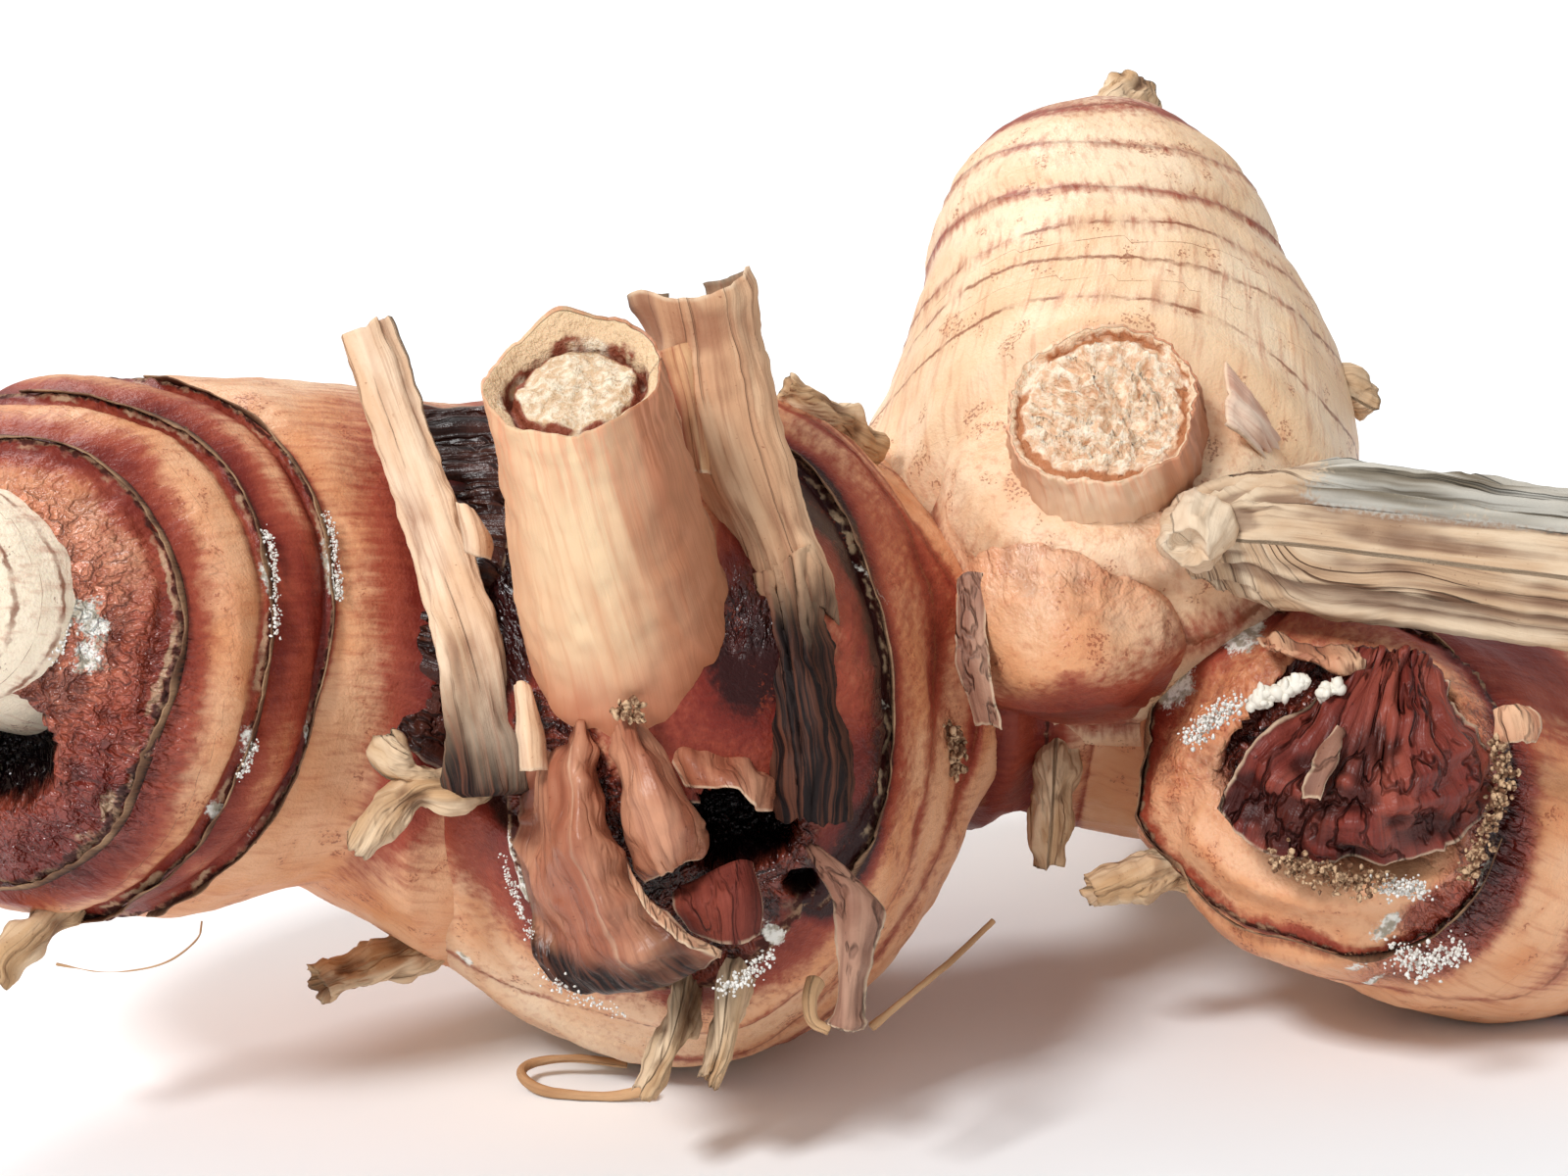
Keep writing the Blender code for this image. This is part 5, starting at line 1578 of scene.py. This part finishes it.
class GalangalSkin(bpy.types.PropertyGroup):
    """Sizes and colours of the flesh's skin."""

    ring_height: bpy.props.FloatProperty(
        name="Ring height", description="How far the scars stand out of the skin, as a measure of all",
        default=RING_HEIGHT, min=0.0, max=0.002, unit="LENGTH", subtype="DISTANCE")
    wrinkle_depth: bpy.props.FloatProperty(
        name="Wrinkle depth", description="How deep the wrinkles of the dried parts are",
        default=0.00065, min=0.0, max=0.002, unit="LENGTH", subtype="DISTANCE")
    tan: bpy.props.FloatVectorProperty(
        name="Skin", description="Colour of the older skin between the scars", subtype="COLOR", size=3,
        default=linear("#D89669")[:3], min=0.0, max=1.0)
    blush: bpy.props.FloatVectorProperty(
        name="Blush", description="Colour of the pigment beside the scars", subtype="COLOR", size=3,
        default=linear("#9A4632")[:3], min=0.0, max=1.0)


class GalangalHusk(bpy.types.PropertyGroup):
    """Sizes of the dry sheaths and scales."""

    paper_thickness: bpy.props.FloatProperty(
        name="Paper thickness", description="Thickness of the papery scales",
        default=0.0003, min=0.0001, max=0.001, unit="LENGTH", subtype="DISTANCE")


class GalangalStage(bpy.types.PropertyGroup):
    """The studio round the rhizome."""

    key_power: bpy.props.FloatProperty(
        name="Key light", description="Power of the soft key light", default=66.0, min=0.0, max=500.0,
        unit="POWER")
    sky_light: bpy.props.FloatProperty(
        name="Sky light", description="Strength of the even light from all sides", default=0.5, min=0.0,
        max=4.0)


class GALANGAL_OT_flesh(bpy.types.Operator):
    """Adds the nine lobes of the rhizome, each a swept skin of its own"""

    bl_idname = "galangal.flesh"
    bl_label = "Add flesh"

    def execute(self, context):
        looks = context.scene.galangal_skin
        material = skin_material(looks)
        for name in LOBES:
            points, fields, skin = lobe_skin(name, looks)
            closed_grid("skin_" + name, points, fields, {"skin": skin}, material, "flesh", ("rhizome",))
        return {"FINISHED"}


class GALANGAL_OT_roots(bpy.types.Operator):
    """Adds the corky root stubs, split along their length at the broken end, and the thin roots"""

    bl_idname = "galangal.roots"
    bl_label = "Add root stubs"

    def execute(self, context):
        # Corky bark: straw brown and quite dull, with coarse ribs.
        cork = dry_material("root_cork", "#DFC5A5", "#BE9870", "#6E4A32", 0.45, 0.85, 0.0002, 0.15)
        for number, (name, (points, flat)) in enumerate(ROOTS.items()):
            stub = stalk(points, 0.24, flat, clear_up(points), ROOT_CUT, tear=2.0, seed=20 + number,
                         lump=1.3, shape=splits(number))
            closed_grid("root_" + name, *stub, cork, "flesh", ("rhizome",))
        # The thin roots are a darker brown, dull and finely ribbed.
        thin = dry_material("root_fibre", "#CBA47C", "#A47A54", "#684630")
        for name, (points, radius) in FIBRES.items():
            radii = np.linspace(radius, radius * 0.6, 12)[:, None]
            line = np.concatenate([smoothed(points, 12), radii], axis=1)
            root = stalk(line, 0.14, up=clear_up(points), tear=0.1, seed=70, ribs=0.0, lump=0.12)
            closed_grid("fibre_" + name, *root, thin, "flesh")
        return {"FINISHED"}


class GALANGAL_OT_shoots(bpy.types.Operator):
    """Adds the two cut shoots, round stumps whose cut ends step down to a crumbly pith"""

    bl_idname = "galangal.shoots"
    bl_label = "Add cut shoots"

    def execute(self, context):
        # Straw-coloured leaf bases with rose streaks, painted shadow in the groove inside the rim, a cream
        # pith.
        front = shoot_material(
            "cut_shoot_front", "#E2C29C", "#C88660", "#8A4630", "#EBDBC2", "#CFAE8A", (0.68, 0.82))
        stump = stalk(FRONT_STUMP, 0.27, top=FRONT_CUT, tear=1.0, seed=31, ribs=0.05, rib_count=0.7,
                      lump=0.4, shape=stump_wrap, rim=front_rim, crumbs=0.35)
        closed_grid("stump_front", *stump, front, "cut_shoot", ("stem_stump_front",))
        # Paler leaf bases, pink streaks, a thin brown line of painted shadow inside the rim, a wide cream
        # pith.
        back = shoot_material(
            "cut_shoot_back", "#EBCBAA", "#D89C78", "#B87850", "#F6E4CC", "#E2B996", (0.86, 0.93))
        stump = stalk(BACK_STUMP, 0.23, top=BACK_CUT, tear=1.0, seed=35, ribs=0.25, rib_count=1.6, lump=0.5,
                      rim=back_rim, crumbs=1.2)
        closed_grid("stump_back", *stump, back, "cut_shoot_pith", ("stem_stump_back",))
        return {"FINISHED"}


class GALANGAL_OT_stalks(bpy.types.Operator):
    """Adds the dry stalk over the hub and the dry stem with its knob over the right lobe"""

    bl_idname = "galangal.stalks"
    bl_label = "Add dry stalks"

    def execute(self, context):
        paper = context.scene.galangal_husk.paper_thickness / MM
        # A dull beige stalk with brown fibres and some long splits.
        beige = dry_material("dry_stalk_fibre", "#EED3B6", "#DDB692", "#9A664C", 0.35, cracks=0.35)
        grid, fields, vectors = stalk(
            LEFT_STALK, 0.24, (1, 0.5), top=DRY_CUT, tear=1.6, seed=41, ribs=0.5, rib_count=0.7, lump=0.4)
        fields["dark"] = np.clip(0.75 - fields["along"] * 1.3, 0, 1)
        closed_grid("dry_stalk_left", grid, fields, vectors, beige, "dry_stalk", ("dry_stalk_left",))
        for name, rows in (("stalk_strip", STALK_STRIP), ("stalk_flap", STALK_FLAP)):
            sheet = papery(smooth_sheet(rows), 0.2, 46, tear=0.6, side_tear=0.3, ribs=0.2)
            shell(name, sheet, paper, beige, "dry_stalk")
        # A dull straw-coloured stem with grey-brown fibres and deep long splits.
        straw = dry_material("dry_stem_fibre", "#D8C2A6", "#BE9E7E", "#6A4836", 0.42, cracks=0.85)
        grid, fields, vectors = stalk(
            RIGHT_STEM, 0.3, (0.42, 1), UPWARDS, DRY_CUT, tear=2.0, seed=43, ribs=0.9, rib_count=1.0,
            lump=0.25)
        # The stem is mouldy on top, but not at its foot.
        skin = vectors["skin"]
        upward = skin[..., 1] / np.maximum(np.linalg.norm(skin[..., :2], axis=-1), 0.1)
        beyond_foot = np.clip(fields["along"] * 8 - 1.0, 0, 1)
        fields["mould"] = 0.85 * np.clip((upward - 0.3) / 0.35, 0, 1) * beyond_foot
        closed_grid("dry_stem_right", grid, fields, vectors, straw, "dry_stem", ("dry_stem_right",))
        # A chalky knob, pale and nearly plain.
        chalk = dry_material("stem_knob_fibre", "#E6D2B8", "#D2B494", "#9C7A5C", 0.2)
        knob = stalk(STEM_KNOB, 0.18, top=KNOB_CUT, tear=0.5, seed=49, ribs=0.3, lump=0.9)
        closed_grid("stem_knob", *knob, chalk, "dry_stem")
        return {"FINISHED"}


class GALANGAL_OT_sheaths(bpy.types.Operator):
    """Adds the dry leaf sheaths: a curled tube beside the front stump and a blade by the back one"""

    bl_idname = "galangal.sheaths"
    bl_label = "Add sheaths"

    def execute(self, context):
        paper = context.scene.galangal_husk.paper_thickness / MM
        # A dull tan sheath with red-brown fibres and some long splits.
        material = dry_material("dry_sheath_fibre", "#E2BE9A", "#CC9E7A", "#8E583E", 0.4, cracks=0.3)
        spine = spine_of(FRONT_SHEATH, up=TOWARDS_FRONT)
        # A tube whose edges overlap, with a torn foot, a mouth that is low behind and a flared cuff.
        degrees = np.linspace(*SHEATH_TURNS, 84)[None]
        length = np.linspace(SHEATH_FOOT, spine["length"][-1] + 1.4, 80)[:, None] + 0 * degrees
        foot = np.interp(degrees, (-100, 40, 90, 140, 258), (0.0, 3.5, 0.0, 3.0, 5.0))
        length = length + foot * np.clip(1 - (length - SHEATH_FOOT) / 12, 0, 1)
        high = np.clip((length - 24) / 8, 0, 1)
        length = length - 1.7 * np.clip(np.sin(np.radians(degrees)), 0, 1) * high
        cuff = np.clip((degrees - 150) / 60, 0, 1) * high
        radius = read(spine, "radius", length) * (0.92 + 0.75 * cuff**1.5)
        sheet = swept(spine, length, radius, np.radians(degrees))
        sheet = papery(sheet, 0.3, 51, tear=0.4, side_tear=1.0, ribs=0.3, crumple=0.5)
        # It is darker towards its foot, and round the back of its mouth, where the inside of the tube
        # shows, it is painted dark as shade.
        across, down, _ = np.moveaxis(sheet[1], -1, 0)
        around = np.radians(SHEATH_TURNS[0] + (SHEATH_TURNS[1] - SHEATH_TURNS[0]) * across / across.max())
        mouth_shade = np.clip(-np.sin(around) * 2, 0, 1) * np.clip(down / down.max() * 6 - 5, 0, 1)
        darkness_and_shade = np.clip((8.0 - down) / 7.0, 0, 1) * 0.6 + 0.6 * mouth_shade
        shell("sheath_front", sheet, paper, material, "dry_sheath", ("leaf_sheath_front",), dark=darkness_and_shade)
        sheet = papery(smooth_sheet(SHEATH_DARK), 0.24, 53, tear=2.4, side_tear=1.4, ribs=0.6, crumple=0.9)
        darkness_and_shade = np.clip(0.35 + sheet[1][..., 1] / 12, 0, 1.1)
        shell("sheath_burnt", sheet, paper, material, "dry_sheath", dark=darkness_and_shade)
        sheet = papery(smooth_sheet(SHEATH_STRIP), 0.22, 55, tear=0.4, side_tear=0.3, ribs=0.5, crumple=0.2)
        # A tan strip with strong red-brown stripes.
        striped = dry_material("striped_sheath_fibre", "#DDB288", "#CE9C70", "#8E3E2A", 0.9)
        shell("sheath_strip", sheet, paper, striped, "dry_sheath")
        sheet = papery(smooth_sheet(BACK_SHEATH), 0.22, 57, tear=1.2, side_tear=0.4, ribs=0.4)
        # A pinkish white sheath with old rose fibres.
        pink = dry_material("pink_sheath_fibre", "#F1D8C2", "#E2B49A", "#BC8068", 0.5)
        shell("sheath_back", sheet, paper * 1.6, pink, "dry_sheath", ("leaf_sheath_back",))
        return {"FINISHED"}


class GALANGAL_OT_husks(bpy.types.Operator):
    """Adds the papery scales at the hub's broken front, over the bud and on the right lobe's face"""

    bl_idname = "galangal.husks"
    bl_label = "Add husk scales"

    def execute(self, context):
        paper = context.scene.galangal_husk.paper_thickness / MM
        papers = {name: dry_material(name + "_fibre", *look) for name, look in HUSK_PAPERS.items()}
        for number, (name, (node, kind, ways, rows)) in enumerate(SCALES.items()):
            sheet = papery(smooth_sheet(rows), 0.23, 61 + 9 * number, **ways)
            across, down, _ = np.moveaxis(sheet[1] / sheet[1].max(axis=(0, 1)), -1, 0)
            dark = np.zeros(down.shape)
            # The largest scale is dark at its torn edge and sides, with a pale fold down its middle.
            if name == "husk_scale_left":
                dark = np.clip((down - 0.66) * 5, 0, 1.2) * np.clip(1.5 - across * 1.5, 0, 1)
                dark += 0.5 * bump(across, 0.2)
                dark += 0.45 * bump(across - 0.85, 0.12) * np.clip((down - 0.3) * 3, 0, 1)
                np.minimum(sheet[2], np.abs(across - 0.62) * 9 + 0.12, out=sheet[2])
            nodes = (node,) if node else ()
            shell(name, sheet, paper, papers[kind], "papery_husk", nodes, dark=dark)
        return {"FINISHED"}


class GALANGAL_OT_collars(bpy.types.Operator):
    """Adds the torn scale leaves that lie along the rings"""

    bl_idname = "galangal.collars"
    bl_label = "Add ring scales"

    def execute(self, context):
        # Each is a strip that starts under the skin on the ring's line and rises along the lobe by
        # reach * torn(turn) to a ragged edge that stands off the skin.
        # They are dull and dark brown, nearly black where they meet the skin.
        husk = dry_material("collar_fibre", "#A07E60", "#6A4A36", "#2C1610", 0.3)
        for number, (name, (node, lobe, ring, turns, reach, height)) in enumerate(COLLARS.items()):
            radius = spine_of(LOBES[lobe]["spine"])["radius"].max()
            columns = int(math.radians(turns[1] - turns[0]) * radius / 0.25)
            degrees = np.linspace(*turns, columns)[None]
            share = np.linspace(0, 1, 9)[:, None]
            around = np.radians(degrees) * radius
            ends = np.clip(np.minimum(degrees - turns[0], turns[1] - degrees) / 8, 0, 1)
            bite = (0.05 + 1.3 * torn(around, 81 + 5 * number) ** 1.5) * ends
            start = ring_lengths(lobe, ring, degrees)
            length = start - math.copysign(0.4, reach) + (reach * bite + math.copysign(0.3, reach)) * share
            wave = 0.3 + 1.1 * line_noise(around, 2.4, 90 + number) ** 2
            lift = -0.35 + share * (height * wave * ends + 0.25)
            around = around + 0 * share
            weave = np.stack([around, length - start, np.full(length.shape, number * 7.7)], -1)
            edge = 0.16 + 0.6 * line_noise(around, 1.1, 95 + number) + (1 - share) * 0.5
            sheet = on_lobe(lobe, degrees, length, lift), weave, edge, lift * 0
            dark = np.clip(0.75 - share * 0.6, 0, 1) + 0 * around
            mould = 0.4 * line_noise(around, 2.0, 96 + number)
            nodes = (node,) if node else ()
            shell(name, sheet, 0.12, husk, "papery_husk", nodes, dark=dark, mould=mould)
        return {"FINISHED"}


class GALANGAL_OT_crumbs(bpy.types.Operator):
    """Adds the white mould, waxy drops and beige flakes that cling to the scars and broken faces"""

    bl_idname = "galangal.crumbs"
    bl_label = "Add crumbs"

    def execute(self, context):
        # Mould is chalk white and quite dull, wax is cream and glossy, and bark is dull brown and beige.
        kinds = {
            "mould": speck_material("white_mould", 0.95, "#D6D1C8", "#EFEDE8", 0.3, (0.4, 0.6), 0.00005),
            "wax": speck_material("waxy_drop", 0.25, "#DCD4C4", "#ECE7DC", 1.5),
            "crumb": speck_material("dry_crumb", 0.85, "#6E4A34", "#D2B08C", 0.5, (0.4, 0.62), 0.0002),
        }
        for name, (kind, lobe, path, spread, count, size) in CRUMBS.items():
            if lobe:
                path = on_lobe(lobe, *np.array(path, float).T, 0.15)
            crumb_cluster(name, path, spread, count, size, kinds[kind])
        return {"FINISHED"}


class GALANGAL_OT_dark_scale(bpy.types.Operator):
    """Adds the withered scale beside the dry stalk, a near-black strip with a lifted, torn edge"""

    bl_idname = "galangal.dark_scale"
    bl_label = "Add withered scale"

    def execute(self, context):
        lobe, lengths, turns, height = DARK_SCALE
        degrees = np.linspace(*turns, 70)[None]
        share = np.linspace(0, 1, 40)[:, None]
        length = lengths[0] + (lengths[1] - lengths[0]) * share
        sheet = on_lobe(lobe, degrees, length, -0.5 + (height + 0.5) * share)
        sheet = papery(sheet, 0.25, 97, tear=0.9, side_tear=0.6, ribs=0.5, crumple=0.5)
        # It is nearly black and glossy, with deep ribs.
        material = dry_material("withered_fibre", "#5A2E24", "#34140F", "#120404", 0.5, 0.3, 0.0003, 0.3)
        dark = np.full(sheet[2].shape, 0.45)
        shell("dark_scale", sheet, 0.4, material, "withered_scale", ("dark_scale_left",), dark=dark)
        return {"FINISHED"}


class GALANGAL_OT_stage(bpy.types.Operator):
    """Adds the pale floor, the soft studio light and the camera at the photograph's angle"""

    bl_idname = "galangal.stage"
    bl_label = "Add stage"

    def execute(self, context):
        scene = context.scene
        looks = scene.galangal_stage
        scene.view_settings.view_transform = "Standard"
        mesh = bpy.data.meshes.new("floor")
        mesh.from_pydata([(-3, -3, 0), (3, -3, 0), (3, 3, 0), (-3, 3, 0)], [], [(0, 1, 2, 3)])
        # White card, dull enough to show no reflection.
        material, tree = new_material("pale_floor", 0.9)
        tree.nodes["Principled BSDF"].inputs["Base Color"].default_value = linear("#F8FAFC")
        mesh.materials.append(material)
        floor = bpy.data.objects.new("floor", mesh)
        scene.collection.objects.link(floor)
        world = bpy.data.worlds.new("studio")
        world.use_nodes = True
        world.node_tree.nodes["Background"].inputs[0].default_value = linear("#FFFFFF")
        world.node_tree.nodes["Background"].inputs[1].default_value = looks.sky_light
        scene.world = world
        lamps = ("key", (-1.3, -1.7, 2.0), 0.6, 1.0), ("rim", (-0.9, 1.5, 2.2), 0.8, 0.5)
        for name, place, size, share in lamps:
            data = bpy.data.lights.new(name, "AREA")
            data.size = size
            data.energy = looks.key_power * share
            lamp = bpy.data.objects.new(name, data)
            lamp.location = place
            lamp.rotation_mode = "QUATERNION"
            lamp.rotation_quaternion = (-lamp.location).to_track_quat("-Z", "Y")
            scene.collection.objects.link(lamp)
        data = bpy.data.cameras.new("photo_camera")
        data.lens = 85
        data.sensor_width = 36
        camera = bpy.data.objects.new("photo_camera", data)
        back = np.array((0.0, -math.cos(CAMERA_RISE), math.sin(CAMERA_RISE)))
        camera.location = (CAMERA_TARGET - CENTRE) * MM + CAMERA_DISTANCE * back
        camera.rotation_euler = (math.pi / 2 - CAMERA_RISE, 0.0, 0.0)
        scene.collection.objects.link(camera)
        scene.camera = camera
        return {"FINISHED"}


OPERATORS = (
    GALANGAL_OT_flesh,
    GALANGAL_OT_roots,
    GALANGAL_OT_shoots,
    GALANGAL_OT_stalks,
    GALANGAL_OT_sheaths,
    GALANGAL_OT_husks,
    GALANGAL_OT_collars,
    GALANGAL_OT_crumbs,
    GALANGAL_OT_dark_scale,
    GALANGAL_OT_stage,
)
GROUPS = {"galangal_skin": GalangalSkin, "galangal_husk": GalangalHusk, "galangal_stage": GalangalStage}


class GALANGAL_PT_sidebar(bpy.types.Panel):
    """The pieces and settings in the 3D view's sidebar"""

    bl_label = "Galangal"
    bl_space_type = "VIEW_3D"
    bl_region_type = "UI"
    bl_category = "Galangal"

    def draw(self, context):
        for operator in OPERATORS:
            self.layout.operator(operator.bl_idname)
        for group in GROUPS:
            settings = getattr(context.scene, group)
            for key in settings.__annotations__:
                self.layout.prop(settings, key)


def register():
    """Adds the settings, the operators and the panel to Blender."""
    for key, group in GROUPS.items():
        bpy.utils.register_class(group)
        setattr(bpy.types.Scene, key, bpy.props.PointerProperty(type=group))
    for kind in (*OPERATORS, GALANGAL_PT_sidebar):
        bpy.utils.register_class(kind)


def unregister():
    """Takes away what register added."""
    for kind in (GALANGAL_PT_sidebar, *OPERATORS[::-1]):
        bpy.utils.unregister_class(kind)
    for key, group in GROUPS.items():
        delattr(bpy.types.Scene, key)
        bpy.utils.unregister_class(group)


def main():
    register()
    bpy.ops.galangal.flesh()
    bpy.ops.galangal.roots()
    bpy.ops.galangal.shoots()
    bpy.ops.galangal.stalks()
    bpy.ops.galangal.sheaths()
    bpy.ops.galangal.husks()
    bpy.ops.galangal.collars()
    bpy.ops.galangal.crumbs()
    bpy.ops.galangal.dark_scale()
    bpy.ops.galangal.stage()


if __name__ == "__main__":
    main()
